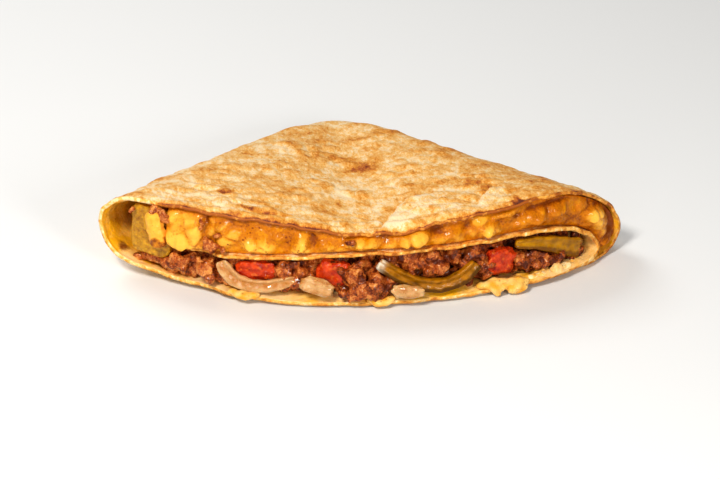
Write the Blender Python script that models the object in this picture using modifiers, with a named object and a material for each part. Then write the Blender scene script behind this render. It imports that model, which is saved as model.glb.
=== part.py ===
"""Beef wrap: a flour tortilla folded into a quarter round over minced beef, melted cheese and vegetables.

Blender 4.5, metres, +Z up. The wrap lies flat, its rounded tip towards +Y and its open, curved side
towards -Y. A place in the sheet is given by three numbers: across, the distance along the front arc
from its middle (negative to the left); along, 0 at the tip and 1 at the front; and a height.
A place in the filling that shows is given by its distance across, its radius from the arc's centre
and its height.
"""

import math
import random

import bmesh
import bpy
import numpy as np
from mathutils import Matrix, Vector, noise
from mathutils.bvhtree import BVHTree

MM = 0.001

# The tortilla: a round of this radius, slit to its centre and rolled into a quarter
DISC_RADIUS = 157 * MM
SHEET = 2.0 * MM
GAP = 0.4 * MM
FRONT_ANGLE = math.radians(43.5)
SIDE_ANGLE = math.radians(40.5)
NOSE_RADIUS = 20 * MM
NOSE_BACK = 18 * MM
CENTRE_Y = 80 * MM
LEFT_BOW = 1.6 * MM
BULGE = 5 * MM
BULGE_ACROSS = 75 * MM
BULGE_WIDTH = 28 * MM
LEFT_RECESS = 5 * MM
LEFT_RECESS_ENDS = (-115 * MM, -58 * MM)
RECESS_EASE = 18 * MM
FLAP_RECESS = 4 * MM
FLAP_RECESS_ENDS = (70 * MM, 100 * MM)
LOW = 12 * MM

# Heights of the sheet's middle surface, at the front
FLAP_Z = SHEET / 2
BOTTOM_Z = FLAP_Z + SHEET + GAP
TOP_Z = 38.8 * MM
TOP_SAG = 5.6 * MM
SAG_ACROSS = -4 * MM
SAG_WIDTH = 21 * MM
MIDDLE_Z = 19.2 * MM
MIDDLE_RISE = 5.0 * MM
MIDDLE_LEVEL_FROM = 5 * MM
NOSE_HEIGHT = 13 * MM
NOSE_DEPTH = 4 * MM
NOSE_SPREAD = 1.3 * MM
TIP_SCALE = 0.18
TIP_SHARE = 0.08

# Where the panels end, across the front
MIDDLE_LEFT = -80 * MM
MIDDLE_RIGHT = 62 * MM
BOTTOM_RIGHT = 92 * MM
BOTTOM_LEFT = -78 * MM
TOP_LEFT = -92 * MM
TOP_RIGHT = 62 * MM
FLAP_RIGHT = 100 * MM
FLAP_LEFT = -50 * MM
INNER_START = 0.25

# The filling
CHEESE_LEFT = -87 * MM
CHEESE_FRONT = 0.985
CHEESE_START = 0.3
CHEESE_TURN = 0.78
CHEESE_BELLY = 0.012
BEEF_LEFT = -101 * MM
BEEF_RIGHT = 90 * MM
BEEF_START = 0.175
BEEF_STEP_DOWN = 0.234
BEEF_FRONT = 0.952
BEEF_EASE = 0.2 * MM
BEEF_SHY = 1.0 * MM
BEEF_THIN = 1.2 * MM
BEEF_LEFT_Z = 32 * MM
BEEF_MOUTH = (0.82, 0.92)
CRUMB_SIZES = (2.7 * MM, 4.2 * MM)
CRUMB_RADIUS = 152 * MM
CRUMB_PITCH = 6.2 * MM
CRUMB_SCATTER = 1.2 * MM
CRUMB_CLEAR = 0.4 * MM
CRUMB_ROWS = 3
CRUMB_SEED = 7
CRUMB_STRETCH = 1.15
CRUMB_TRIES = ((1.0, 0.0), (0.9, 1.5 * MM), (0.7, 3.0 * MM))

# Melted cheese run over the front edge, in millimetres: place across, width, lowest point
DRIP_HOLD = 6 * MM
DRIP_THICK = 2.2 * MM
DRIPS = {
    "left": (-54.3, 12, 2.2),
    "middle": (0.5, 10.5, 1.0),
    "right": (47.5, 8, 0.7),
    "far": (56.6, 8, 1.6),
}

# Rounded toppings, in millimetres: food, place (across, radius, height), size (the same way), then
# the tilt seen from the front, how square it is and how rough
LUMPS = {
    "pickle_left": ("pickle", (-96.2, 153.4, 23.4), (16.8, 3, 20.2), 0.0, 3.6, 0.0),
    "tomato_left": ("tomato", (-50, 153.6, 13.8), (16, 5, 8.6), -0.1, 3.2, 0.25),
    "tomato_middle": ("tomato", (-18.3, 153.4, 14.6), (13.5, 4.6, 10), 0.15, 3.2, 0.25),
    "tomato_right": ("tomato", (51.2, 154.2, 13.6), (13.5, 5.6, 10.6), 0.2, 3.2, 0.25),
    "onion_middle": ("onion", (-24.9, 158.6, 10.9), (12.5, 4, 6.6), 0.3, 3.2, 0.2),
    "onion_right": ("onion", (11.2, 159.8, 7.9), (13, 3, 5.2), 0.15, 3.0, 0.2),
}

# Long toppings, in millimetres: food, width, radius, depth, then the route as (across, height)
STRIPS = {
    "cheese_stick": ("cheese", 7.4, 158, 5.2, ((-92.2, 34.6), (-91.3, 27), (-89.8, 20.4))),
    "onion_left": (
        "onion", 4.2, 158, 2.0,
        ((-63.5, 17.4), (-61.5, 13.2), (-57.6, 9.6), (-51, 8.3), (-43, 8.9), (-34.5, 12)),
    ),
    "pepper_middle": (
        "pickle", 4.8, 155.8, 3.6,
        ((-0.6, 19.2), (5.3, 14.5), (11.5, 10.3), (17.7, 7.4), (25, 6.6), (31.4, 7.3), (36.7, 9.8),
         (40.6, 14.5)),
    ),
    "pickle_right": (
        "pickle", 4.6, 154.2, 3.0, ((59.5, 18.6), (67.6, 17.4), (76.6, 15.4), (84.9, 12), (92, 7.6))
    ),
}
STRIP_CELL = 3.6 * MM
STRIP_TAPER = 0.72
STRIP_ROUND = 0.35

COLOURS = {
    "tortilla": ((0.78, 0.47, 0.20), 0.75),
    "cheese": ((0.85, 0.47, 0.08), 0.35),
    "beef": ((0.25, 0.085, 0.035), 0.5),
    "tomato": ((0.60, 0.05, 0.02), 0.3),
    "pickle": ((0.28, 0.21, 0.02), 0.35),
    "onion": ((0.76, 0.66, 0.48), 0.35),
}


# --- The folded sheet -------------------------------------------------------------------------


def smooth(x):
    """0 below 0, 1 above 1, and an even S between."""
    x = min(max(x, 0.0), 1.0)
    return x * x * (3.0 - 2.0 * x)


def height_scale(along):
    """How tall the stack is at a place along the wrap, as a share of its height at the front."""
    return TIP_SCALE * math.sqrt(min(1.0, along / TIP_SHARE)) + (1.0 - TIP_SCALE) * along


def width_scale(along):
    """How much narrower than the front arc the wrap is at a place along it."""
    nose = NOSE_RADIUS * (math.pi / 2 - SIDE_ANGLE) / (FRONT_ANGLE * DISC_RADIUS)
    return nose + (1.0 - nose) * along


def plan(across, along, height, reach=0.0):
    """A point of the wrap: lines run from the rounded nose to the front arc, or reach past it."""
    angle = across / DISC_RADIUS
    turn = angle * (math.pi / 2 - SIDE_ANGLE) / FRONT_ANGLE
    nose = Vector((NOSE_RADIUS * math.sin(turn), NOSE_RADIUS * math.cos(turn) - NOSE_BACK, 0.0))
    front = Vector((math.sin(angle), -math.cos(angle), 0.0)) * (DISC_RADIUS + reach)
    bow = LEFT_BOW * math.sin(math.pi * along) * min(0.0, across / (FRONT_ANGLE * DISC_RADIUS))
    return nose.lerp(front, along) + Vector((bow, CENTRE_Y, height))


def bottom_reach(across, height):
    """How far the bottom panel's front edge goes past the arc: out on the right, back on the left."""
    bell = math.exp(-(((across - BULGE_ACROSS) / BULGE_WIDTH) ** 2))
    start, end = LEFT_RECESS_ENDS
    recess = smooth((across - start) / RECESS_EASE) * smooth((end - across) / RECESS_EASE)
    return (BULGE * bell - LEFT_RECESS * recess) * (1.0 - smooth(height / LOW))


def flap_reach(across, height):
    """How far the flap's front edge stays behind the arc, away from its fold."""
    start, end = FLAP_RECESS_ENDS
    share = 1.0 - smooth((across - start) / (end - start))
    return -FLAP_RECESS * share * (1.0 - smooth(height / LOW))


def no_reach(across, height):
    """The front edge of the other panels follows the arc."""
    return 0.0


def raised(height, along):
    """A height above the bottom panel, scaled down towards the tip."""
    floor = BOTTOM_Z + SHEET + GAP
    return floor + (height - floor) * height_scale(along)


def top_level(across, along):
    """Height of the top panel, which sags in the middle."""
    sag = TOP_SAG * math.exp(-0.5 * ((across - SAG_ACROSS) / SAG_WIDTH) ** 2)
    return raised(TOP_Z - sag, along)


def middle_level(across, along):
    """Height of the middle panel, which climbs to the right and levels out."""
    rise = MIDDLE_RISE * smooth((across - MIDDLE_LEFT) / (MIDDLE_LEVEL_FROM - MIDDLE_LEFT))
    return raised(MIDDLE_Z + rise, along)


def bottom_level(across, along):
    """Height of the bottom panel."""
    return BOTTOM_Z


def flap_level(across, along):
    """Height of the last flap, tucked under the bottom panel."""
    return FLAP_Z


def panel(level, start, end):
    """A flat stretch of the sheet, as a curve over (across, height)."""

    def curve(along, share):
        across = start + (end - start) * share
        return np.array((across, level(across, along)))

    return curve


def fold(start, start_level, out_start, out_end, end, end_level):
    """A turn of the sheet, as a cubic curve over (across, height) between two panels."""

    def curve(along, share):
        a = np.array((start, start_level(start, along)))
        b = np.array((out_start[0], raised(out_start[1], along)))
        c = np.array((out_end[0], max(end_level(end, along), raised(out_end[1], along))))
        d = np.array((end, end_level(end, along)))
        rest = 1.0 - share
        return a * rest**3 + 3 * b * rest**2 * share + 3 * c * rest * share**2 + d * share**3

    return curve


MIDDLE = panel(middle_level, MIDDLE_LEFT, MIDDLE_RIGHT)
INNER_FOLD = fold(
    MIDDLE_RIGHT, middle_level, (90 * MM, 24.5 * MM), (118 * MM, BOTTOM_Z), BOTTOM_RIGHT, bottom_level
)
BOTTOM = panel(bottom_level, BOTTOM_RIGHT, BOTTOM_LEFT)
LEFT_FOLD = fold(
    TOP_LEFT, top_level, (-128 * MM, 38 * MM), (-135 * MM, 4.6 * MM), BOTTOM_LEFT, bottom_level
)
TOP = panel(top_level, TOP_LEFT, TOP_RIGHT)
OUTER_FOLD = fold(
    TOP_RIGHT, top_level, (107 * MM, 40 * MM), (135 * MM, 3 * MM), FLAP_RIGHT, flap_level
)
FLAP = panel(flap_level, FLAP_RIGHT, FLAP_LEFT)


def backwards(curve):
    """The same curve, followed from its other end."""
    return lambda along, share: curve(along, 1.0 - share)


# The sheet from its inner to its outer edge: curve, steps, where it starts along, front edge
SHEET_PATH = [
    (MIDDLE, 18, INNER_START, no_reach),
    (INNER_FOLD, 9, INNER_START, bottom_reach),
    (BOTTOM, 18, 0.0, bottom_reach),
    (backwards(LEFT_FOLD), 12, 0.0, bottom_reach),
    (TOP, 22, 0.0, no_reach),
    (OUTER_FOLD, 13, 0.0, flap_reach),
    (FLAP, 14, 0.0, flap_reach),
]
SHEET_ROWS = [0.02, 0.045, 0.08, 0.13, 0.19] + [INNER_START + 0.75 * k / 9 for k in range(10)]


def offset_line(curve, along, shares, distance):
    """Points beside a curve of the sheet, at a true distance from it, over (across, height)."""
    width = width_scale(along)
    points = np.array([curve(along, share) for share in shares])
    points[:, 0] *= width
    ahead = np.array([curve(along, min(share + 0.01, 1.0)) for share in shares])
    behind = np.array([curve(along, max(share - 0.01, 0.0)) for share in shares])
    run = (ahead - behind) * np.array((width, 1.0))
    run /= np.linalg.norm(run, axis=1)[:, None]
    points += distance * np.column_stack((-run[:, 1], run[:, 0]))
    points[:, 0] /= width
    return points


def height_over(line, across):
    """Height of a line of (across, height) points at a distance across."""
    line = line[np.argsort(line[:, 0])]
    return float(np.interp(across, line[:, 0], line[:, 1]))


# --- Mesh helpers -----------------------------------------------------------------------------


def make_object(name, bm, material, collection):
    """Links a bmesh as a named, smooth-shaded object with its faces pointing out."""
    bmesh.ops.recalc_face_normals(bm, faces=bm.faces)
    mesh = bpy.data.meshes.new(name)
    bm.to_mesh(mesh)
    bm.free()
    mesh.shade_smooth()
    obj = bpy.data.objects.new(name, mesh)
    collection.objects.link(obj)
    mesh.materials.append(material)
    return obj


def applied(obj):
    """Replaces an object's mesh by the mesh its modifiers make."""
    graph = bpy.context.evaluated_depsgraph_get()
    mesh = bpy.data.meshes.new_from_object(obj.evaluated_get(graph))
    obj.modifiers.clear()
    obj.data = mesh
    return obj


def keep_outer_shell(obj):
    """Keeps the widest connected shell of an object: hollows are filled and loose scraps dropped."""
    bm = bmesh.new()
    bm.from_mesh(obj.data)
    left = set(bm.verts)
    shells = []
    while left:
        shell = {left.pop()}
        edge = list(shell)
        while edge:
            near = {link.other_vert(vert) for vert in edge for link in vert.link_edges}
            edge = list(near & left)
            shell |= near
            left -= near
        shells.append(shell)
    outer = max(shells, key=len)
    bmesh.ops.delete(bm, geom=[vert for vert in bm.verts if vert not in outer], context="VERTS")
    bm.to_mesh(obj.data)
    bm.free()


def block(columns, rows, layers, place):
    """A box of square faces, each corner moved to place(u, v, w), with u, v and w from 0 to 1."""
    bm = bmesh.new()
    bmesh.ops.create_cube(bm, size=1.0)
    for axis, cells in enumerate((columns, rows, layers)):
        if cells == 1:
            continue
        edges = [
            edge for edge in bm.edges if abs((edge.verts[0].co - edge.verts[1].co)[axis]) > 0.5
        ]
        bmesh.ops.subdivide_edges(bm, edges=edges, cuts=cells - 1, use_grid_fill=True)
    for vert in bm.verts:
        vert.co = place(*(vert.co + Vector((0.5, 0.5, 0.5))))
    return bm


def spot(across, radius, height):
    """A point by its distance across, its radius from the arc's centre and its height."""
    angle = across / DISC_RADIUS
    return Vector((radius * math.sin(angle), CENTRE_Y - radius * math.cos(angle), height))


def lump(centre, size, tilt, power, rough, seed):
    """A rounded piece. Centre and size are (across, radius, height); power makes it square."""
    turn = Matrix.Rotation(tilt, 3, "Y")
    cells = (6, 5, 4) if rough else (6, 2, 6)

    def place(u, v, w):
        corner = Vector((2 * u - 1, 2 * v - 1, 2 * w - 1))
        length = sum(abs(c) ** power for c in corner) ** (1.0 / power)
        way = corner / length
        swell = 1.0 + rough * noise.noise(way * 1.7 + Vector((seed, 0.0, 0.0)))
        local = turn @ Vector((way.x * size[0], way.y * size[1], way.z * size[2])) * (0.5 * swell)
        return spot(centre[0] + local.x, centre[1] - local.y, centre[2] + local.z)

    return block(*cells, place)


def strip(route, width, radius, depth, power=3.0):
    """A flat piece that follows a route of (across, height) points, with this width across it."""
    points = np.array(route)
    steps = np.concatenate(([0.0], np.cumsum(np.linalg.norm(np.diff(points, axis=0), axis=1))))

    def on_route(share):
        distance = share * steps[-1]
        return np.array([np.interp(distance, steps, points[:, k]) for k in (0, 1)])

    def centre(share):
        shares = np.clip(share + np.linspace(-0.12, 0.12, 7), 0.0, 1.0)
        return np.mean([on_route(s) for s in shares], axis=0)

    def place(u, v, w):
        run = centre(min(u + 0.02, 1.0)) - centre(max(u - 0.02, 0.0))
        run /= np.linalg.norm(run)
        side = np.array((-run[1], run[0]))
        taper = (1.0 - STRIP_TAPER * abs(2 * u - 1) ** power) ** (1.0 / power)
        edge = 1.0 - STRIP_ROUND * abs(2 * w - 1) ** power
        middle = centre(u) + side * (w - 0.5) * width * taper
        return spot(middle[0], radius + (v - 0.5) * depth * edge, middle[1])

    return block(max(6, round(steps[-1] / STRIP_CELL)), 2, 3, place)


def drip(across, width, low):
    """Melted cheese that lies on the bottom panel's front edge and runs down over it."""
    half = DRIP_THICK / 2
    edge = DISC_RADIUS + bottom_reach(across, 0.0) + GAP + half
    bed = BOTTOM_Z + SHEET / 2 + GAP + half
    route = ((edge - DRIP_HOLD, bed), (edge - 2 * half, bed), (edge, bed - half), (edge, low))

    def place(u, v, w):
        index = v * (len(route) - 1)
        radius = float(np.interp(index, range(len(route)), [stop[0] for stop in route]))
        height = float(np.interp(index, range(len(route)), [stop[1] for stop in route]))
        bend = math.pi / 2 * smooth(index - 0.7)
        round_off = math.sqrt(1.0 - 0.75 * (2 * v - 1) ** 6) * (1.0 - 0.2 * (2 * u - 1) ** 2)
        out = (w - 0.5) * DRIP_THICK * round_off
        side = (u - 0.5) * width * (0.65 + 0.35 * smooth(v * 2.0)) * round_off
        return spot(across + side, radius + out * math.sin(bend), height + out * math.cos(bend))

    return block(5, 6, 2, place)


# --- Sub-parts --------------------------------------------------------------------------------


def build_tortilla(parts, cutters, material):
    """One sheet: a flat grid bent along the fold path, given its thickness, and closed at the nose."""
    columns = [
        (curve, k / steps, start, reach)
        for curve, steps, start, reach in SHEET_PATH
        for k in range(steps)
    ]
    columns.append((FLAP, 1.0, 0.0, flap_reach))
    bm = bmesh.new()
    bmesh.ops.create_grid(
        bm, x_segments=len(columns) - 1, y_segments=len(SHEET_ROWS) - 1, size=0.5
    )
    bm.verts.ensure_lookup_table()
    hidden = []
    for index, vert in enumerate(bm.verts):
        row, column = divmod(index, len(columns))
        curve, share, start, reach = columns[column]
        along = SHEET_ROWS[row]
        across, height = curve(along, share)
        vert.co = plan(across, along, height, reach(across, height))
        if along < start - 0.001:
            hidden.append(vert)
    bmesh.ops.delete(bm, geom=hidden, context="VERTS")
    tortilla = make_object("tortilla", bm, material, parts)
    skin = tortilla.modifiers.new("Thickness", "SOLIDIFY")
    skin.thickness = SHEET
    skin.offset = 0.0
    applied(tortilla)
    nose = build_nose(cutters, material)
    join = tortilla.modifiers.new("Nose", "BOOLEAN")
    join.operation = "UNION"
    join.object = nose
    applied(tortilla)
    bpy.data.objects.remove(nose, do_unlink=True)
    return tortilla


def build_nose(cutters, material):
    """The rounded tip, where the layers press into one: a ball flattened to the stack's height."""
    half = NOSE_HEIGHT / 2
    bm = bmesh.new()
    bmesh.ops.create_uvsphere(bm, u_segments=28, v_segments=10, radius=1.0)
    for vert in bm.verts:
        reach = math.hypot(vert.co.x, vert.co.y)
        swell = 1.0 / (reach**3 + abs(vert.co.z) ** 3) ** (1.0 / 3.0)
        flat = vert.co * swell
        side = NOSE_RADIUS + NOSE_SPREAD
        vert.co = Vector((flat.x * side, flat.y * side, flat.z * half + half))
        vert.co += Vector((0.0, CENTRE_Y - NOSE_BACK, 0.0))
    everything = bm.verts[:] + bm.edges[:] + bm.faces[:]
    back = Vector((0.0, CENTRE_Y - NOSE_BACK - NOSE_DEPTH, 0.0))
    cut = bmesh.ops.bisect_plane(
        bm, geom=everything, plane_co=back, plane_no=Vector((0.0, 1.0, 0.0)), clear_inner=True
    )
    rim = [item for item in cut["geom_cut"] if isinstance(item, bmesh.types.BMEdge)]
    bmesh.ops.holes_fill(bm, edges=rim)
    return make_object("nose", bm, material, cutters)


def build_cheese(parts, material):
    """The melted layer between the middle and top panels, which runs on round the inner fold."""
    gap = SHEET / 2 + GAP
    shares = np.linspace(0.0, 1.0, 19)
    turns = np.linspace(0.0, CHEESE_TURN, 9)[1:]
    stretch = panel(middle_level, CHEESE_LEFT, MIDDLE_RIGHT)
    roof = panel(top_level, CHEESE_LEFT, TOP_RIGHT)

    def place(u, v, w):
        along = CHEESE_START + (CHEESE_FRONT - CHEESE_START) * v
        low = np.vstack(
            (offset_line(stretch, along, shares, gap), offset_line(INNER_FOLD, along, turns, gap))
        )
        high = np.vstack(
            (offset_line(roof, along, shares, -gap), offset_line(OUTER_FOLD, along, turns, -gap))
        )
        index = u * (len(low) - 1)
        pick = [
            np.array([np.interp(index, np.arange(len(line)), line[:, k]) for k in (0, 1)])
            for line in (low, high)
        ]
        across, height = pick[0] + (pick[1] - pick[0]) * w
        belly = CHEESE_BELLY * (1.0 - (2 * w - 1) ** 2) * smooth((v - 0.9) / 0.1)
        return plan(across, along + belly, height)

    bm = block(len(shares) + len(turns) - 1, 7, 4, place)
    return make_object("cheese_layer", bm, material, parts)


def beef_floor(across, along):
    """The lowest the beef may reach: just over the bottom panel or the left fold."""
    gap = SHEET / 2 + GAP
    if across > BOTTOM_LEFT:
        return BOTTOM_Z + gap
    line = offset_line(LEFT_FOLD, along, np.linspace(0.5, 1.0, 18), gap)
    return max(BOTTOM_Z + gap, height_over(line, across))


def under_top(across, along):
    """The height just under the top panel and the folds on both sides of it."""
    gap = SHEET / 2 + GAP
    if across < TOP_LEFT:
        return height_over(offset_line(LEFT_FOLD, along, np.linspace(0.0, 0.5, 18), gap), across)
    if across > TOP_RIGHT:
        return height_over(offset_line(OUTER_FOLD, along, np.linspace(0.0, 0.5, 18), -gap), across)
    return top_level(across, along) - gap - BEEF_EASE


def beef_ceiling(across, along):
    """The highest the beef may reach: the top panel near the tip, and else the middle panel."""
    if along < BEEF_STEP_DOWN:
        return under_top(across, along)
    if across < CHEESE_LEFT - BEEF_EASE:
        return min(raised(BEEF_LEFT_Z, along), under_top(across, along))
    gap = SHEET / 2 + GAP
    if across < MIDDLE_RIGHT:
        return middle_level(across, along) - gap - BEEF_EASE
    return height_over(offset_line(INNER_FOLD, along, np.linspace(0.0, 0.6, 14), -gap), across)


def beef_left(along):
    """Where the beef ends on the left: against the fold inside, and short of it at the mouth."""
    wall = offset_line(LEFT_FOLD, along, np.linspace(0.3, 0.7, 9), SHEET / 2 + GAP)[:, 0].min()
    wall += BEEF_SHY / width_scale(along)
    start, end = BEEF_MOUTH
    return wall + (BEEF_LEFT - wall) * smooth((along - start) / (end - start))


def build_beef(parts, cutters, material, toppings):
    """The minced beef: a core that fills the wrap, with crumbs fused on where it shows."""
    left = [0.0, 0.15, 0.4, 0.7, 1.0]
    right = list(np.linspace(CHEESE_LEFT, BEEF_RIGHT, 15))
    rows = [BEEF_START, BEEF_STEP_DOWN - 0.002, BEEF_STEP_DOWN + 0.006]
    rows += list(np.linspace(0.32, BEEF_FRONT, 8))

    def place(u, v, w):
        along = float(np.interp(v * (len(rows) - 1), range(len(rows)), rows))
        start = beef_left(along)
        stops = [start + (CHEESE_LEFT - BEEF_SHY - start) * share for share in left] + right
        across = float(np.interp(u * (len(stops) - 1), range(len(stops)), stops))
        low = beef_floor(across, along)
        high = max(low + BEEF_THIN, beef_ceiling(across, along))
        return plan(across, along, low + (high - low) * w)

    core = block(len(left) + len(right) - 1, len(rows) - 1, 2, place)
    beef = make_object("beef_filling", core, material, parts)
    heap = bpy.data.collections.new("crumbs")
    cutters.children.link(heap)
    scatter_crumbs(heap, material, toppings)
    join = beef.modifiers.new("Crumbs", "BOOLEAN")
    join.operation = "UNION"
    join.operand_type = "COLLECTION"
    join.collection = heap
    applied(beef)
    keep_outer_shell(beef)
    for crumb in list(heap.objects):
        bpy.data.objects.remove(crumb, do_unlink=True)
    bpy.data.collections.remove(heap)
    return beef


def scatter_crumbs(heap, material, toppings):
    """Crumbs in rows along the mouth of the wrap, each as large as the toppings leave room for."""
    draw = random.Random(CRUMB_SEED)
    columns = int((BEEF_RIGHT - BEEF_LEFT) / CRUMB_PITCH) + 1
    for column in range(columns):
        for row in range(CRUMB_ROWS):
            size = draw.uniform(*CRUMB_SIZES)
            shift = Vector([draw.uniform(-CRUMB_SCATTER, CRUMB_SCATTER) for _ in range(3)])
            across = BEEF_LEFT + (column - 0.3) * CRUMB_PITCH + shift.x
            low = beef_floor(across, BEEF_FRONT) + size + CRUMB_CLEAR
            high = beef_ceiling(across, BEEF_FRONT) - size - CRUMB_CLEAR
            if high < low:
                size *= 0.6
                low -= 0.4 * size
                high += 0.4 * size
            height = low + (high - low) * (row + 0.5) / CRUMB_ROWS + shift.z
            height = min(max(height, low), max(high, low))
            radius = CRUMB_RADIUS + shift.y + 0.5 * min(0.0, bottom_reach(across, 0.0))
            for share, back in CRUMB_TRIES:
                place = spot(across, radius - back, height)
                if is_clear(place, size * share, toppings):
                    add_crumb(heap, material, place, size * share, draw)
                    break


def is_clear(place, size, toppings):
    """Whether a crumb of this size would stay clear of every topping."""
    reach = size * CRUMB_STRETCH + GAP
    return all(topping.find_nearest(place)[3] > reach for topping in toppings)


def add_crumb(heap, material, centre, size, draw):
    """One uneven crumb of meat."""
    bm = bmesh.new()
    bmesh.ops.create_icosphere(bm, subdivisions=1, radius=1.0)
    turn = Matrix.Rotation(draw.uniform(0.0, math.tau), 3, Vector((draw.random(), draw.random(), 1.0)))
    stretch = [draw.uniform(0.75, CRUMB_STRETCH) for _ in range(3)]
    for vert in bm.verts:
        local = Vector([vert.co[k] * stretch[k] for k in range(3)]) * size
        vert.co = centre + turn @ local
    make_object("crumb", bm, material, heap)


def build_toppings(parts, materials):
    """The vegetables and loose cheese in the mouth of the wrap; returns their surfaces."""
    pieces = {}
    for seed, (name, (food, place, size, tilt, power, rough)) in enumerate(LUMPS.items()):
        pieces[name] = (food, lump(in_metres(place), in_metres(size), tilt, power, rough, seed))
    for name, (food, width, radius, depth, route) in STRIPS.items():
        line = [in_metres(stop) for stop in route]
        pieces[name] = (food, strip(line, width * MM, radius * MM, depth * MM))
    for name, sizes in DRIPS.items():
        pieces["cheese_drip_" + name] = ("cheese", drip(*in_metres(sizes)))
    surfaces = []
    for name, (food, bm) in pieces.items():
        surfaces.append(BVHTree.FromBMesh(bm))
        make_object(name, bm, materials[food], parts)
    return surfaces


def in_metres(sizes):
    """Sizes in millimetres, as metres."""
    return tuple(size * MM for size in sizes)


def make_materials():
    """One plain material for each food."""
    materials = {}
    for name, (colour, roughness) in COLOURS.items():
        material = bpy.data.materials.new(name)
        material.use_nodes = True
        shader = material.node_tree.nodes["Principled BSDF"]
        shader.inputs["Base Color"].default_value = (*colour, 1.0)
        shader.inputs["Roughness"].default_value = roughness
        shader.inputs["Metallic"].default_value = 0.0
        materials[name] = material
    return materials


def main():
    """Builds the wrap from an empty file."""
    for obj in list(bpy.data.objects):
        bpy.data.objects.remove(obj, do_unlink=True)
    parts = bpy.data.collections.new("beef_wrap")
    cutters = bpy.data.collections.new("cutters")
    for collection in (parts, cutters):
        bpy.context.scene.collection.children.link(collection)
    materials = make_materials()
    build_tortilla(parts, cutters, materials["tortilla"])
    build_cheese(parts, materials["cheese"])
    toppings = build_toppings(parts, materials)
    build_beef(parts, cutters, materials["beef"], toppings)


main()
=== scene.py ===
"""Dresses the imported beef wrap: a toasted flour tortilla folded over minced beef, melted cheese,
tomato, onion and pickled pepper. Lengths are metres unless a name or comment says millimetres.
"""

import logging
import math
import random
from contextlib import contextmanager
from dataclasses import dataclass
from enum import Enum
from functools import cached_property, lru_cache
from typing import Callable, ClassVar, Iterable, Iterator, Optional, Sequence, Union

import bmesh
import bpy
import numpy as np
from bmesh.types import BMEdge, BMesh, BMVert
from bpy.types import ColorRamp, Material, Node, NodeSocket, Object
from mathutils import Matrix, Vector, noise


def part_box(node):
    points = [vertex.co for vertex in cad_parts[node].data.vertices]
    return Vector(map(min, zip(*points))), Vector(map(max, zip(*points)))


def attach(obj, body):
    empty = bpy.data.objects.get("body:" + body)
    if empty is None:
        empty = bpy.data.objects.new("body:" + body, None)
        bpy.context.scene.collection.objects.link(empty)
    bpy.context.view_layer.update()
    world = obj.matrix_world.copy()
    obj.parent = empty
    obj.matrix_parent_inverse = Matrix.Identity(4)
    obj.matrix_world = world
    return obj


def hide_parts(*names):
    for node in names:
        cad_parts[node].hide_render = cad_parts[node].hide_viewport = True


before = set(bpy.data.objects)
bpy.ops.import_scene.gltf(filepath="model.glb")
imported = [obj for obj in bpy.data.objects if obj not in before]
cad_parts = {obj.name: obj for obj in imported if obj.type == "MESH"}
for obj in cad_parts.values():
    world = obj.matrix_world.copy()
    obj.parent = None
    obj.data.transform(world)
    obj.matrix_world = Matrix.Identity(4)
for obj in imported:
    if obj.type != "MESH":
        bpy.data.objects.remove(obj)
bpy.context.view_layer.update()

MM = 0.001
logger = logging.getLogger("beef_wrap")
Place = Callable[[float, float, float], Vector]
Pair = tuple[float, float]
Triple = tuple[float, float, float]
Colour = Triple


# --- Shader recipes ---


class Value:
    """A number inside a shader: Python's operators on it add Math nodes."""

    def __init__(self, recipe: "Recipe", socket: NodeSocket) -> None:
        """Wraps a socket of a recipe."""
        self.recipe = recipe
        self.socket = socket

    def _math(self, operation: str, first: object, second: object, clamp: bool = False) -> "Value":
        """Adds one Math node.

        Args:
            operation: Blender's name of the operation.
            first: the left operand, a Value or a number.
            second: the right operand, a Value or a number.
            clamp: keeps the result between 0 and 1.

        Returns:
            The result.
        """
        settings = {"operation": operation, "use_clamp": clamp}
        node = self.recipe.node("Math", settings, {0: first, 1: second})
        return Value(self.recipe, node.outputs[0])

    def __add__(self, other: object) -> "Value":
        """self + other."""
        return self._math("ADD", self, other)

    def __radd__(self, other: object) -> "Value":
        """other + self."""
        return self._math("ADD", other, self)

    def __sub__(self, other: object) -> "Value":
        """self - other."""
        return self._math("SUBTRACT", self, other)

    def __rsub__(self, other: object) -> "Value":
        """other - self."""
        return self._math("SUBTRACT", other, self)

    def __mul__(self, other: object) -> "Value":
        """self * other."""
        return self._math("MULTIPLY", self, other)

    def __rmul__(self, other: object) -> "Value":
        """other * self."""
        return self._math("MULTIPLY", other, self)

    def clamped(self) -> "Value":
        """The value kept between 0 and 1."""
        return self._math("ADD", self, 0.0, clamp=True)

    def between(self, low: float, high: float) -> "Value":
        """A smooth step of the value.

        Args:
            low: where the step gives 0; above high, the step runs downwards.
            high: where it gives 1.

        Returns:
            The step, from 0 to 1.
        """
        settings = {"interpolation_type": "SMOOTHSTEP"}
        start, end = (low, high) if low < high else (high, low)
        node = self.recipe.node("MapRange", settings, {0: self, 1: start, 2: end})
        step = Value(self.recipe, node.outputs[0])
        return step if low < high else 1.0 - step


Paint = Union[Value, NodeSocket, float, Sequence[float]]


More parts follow.
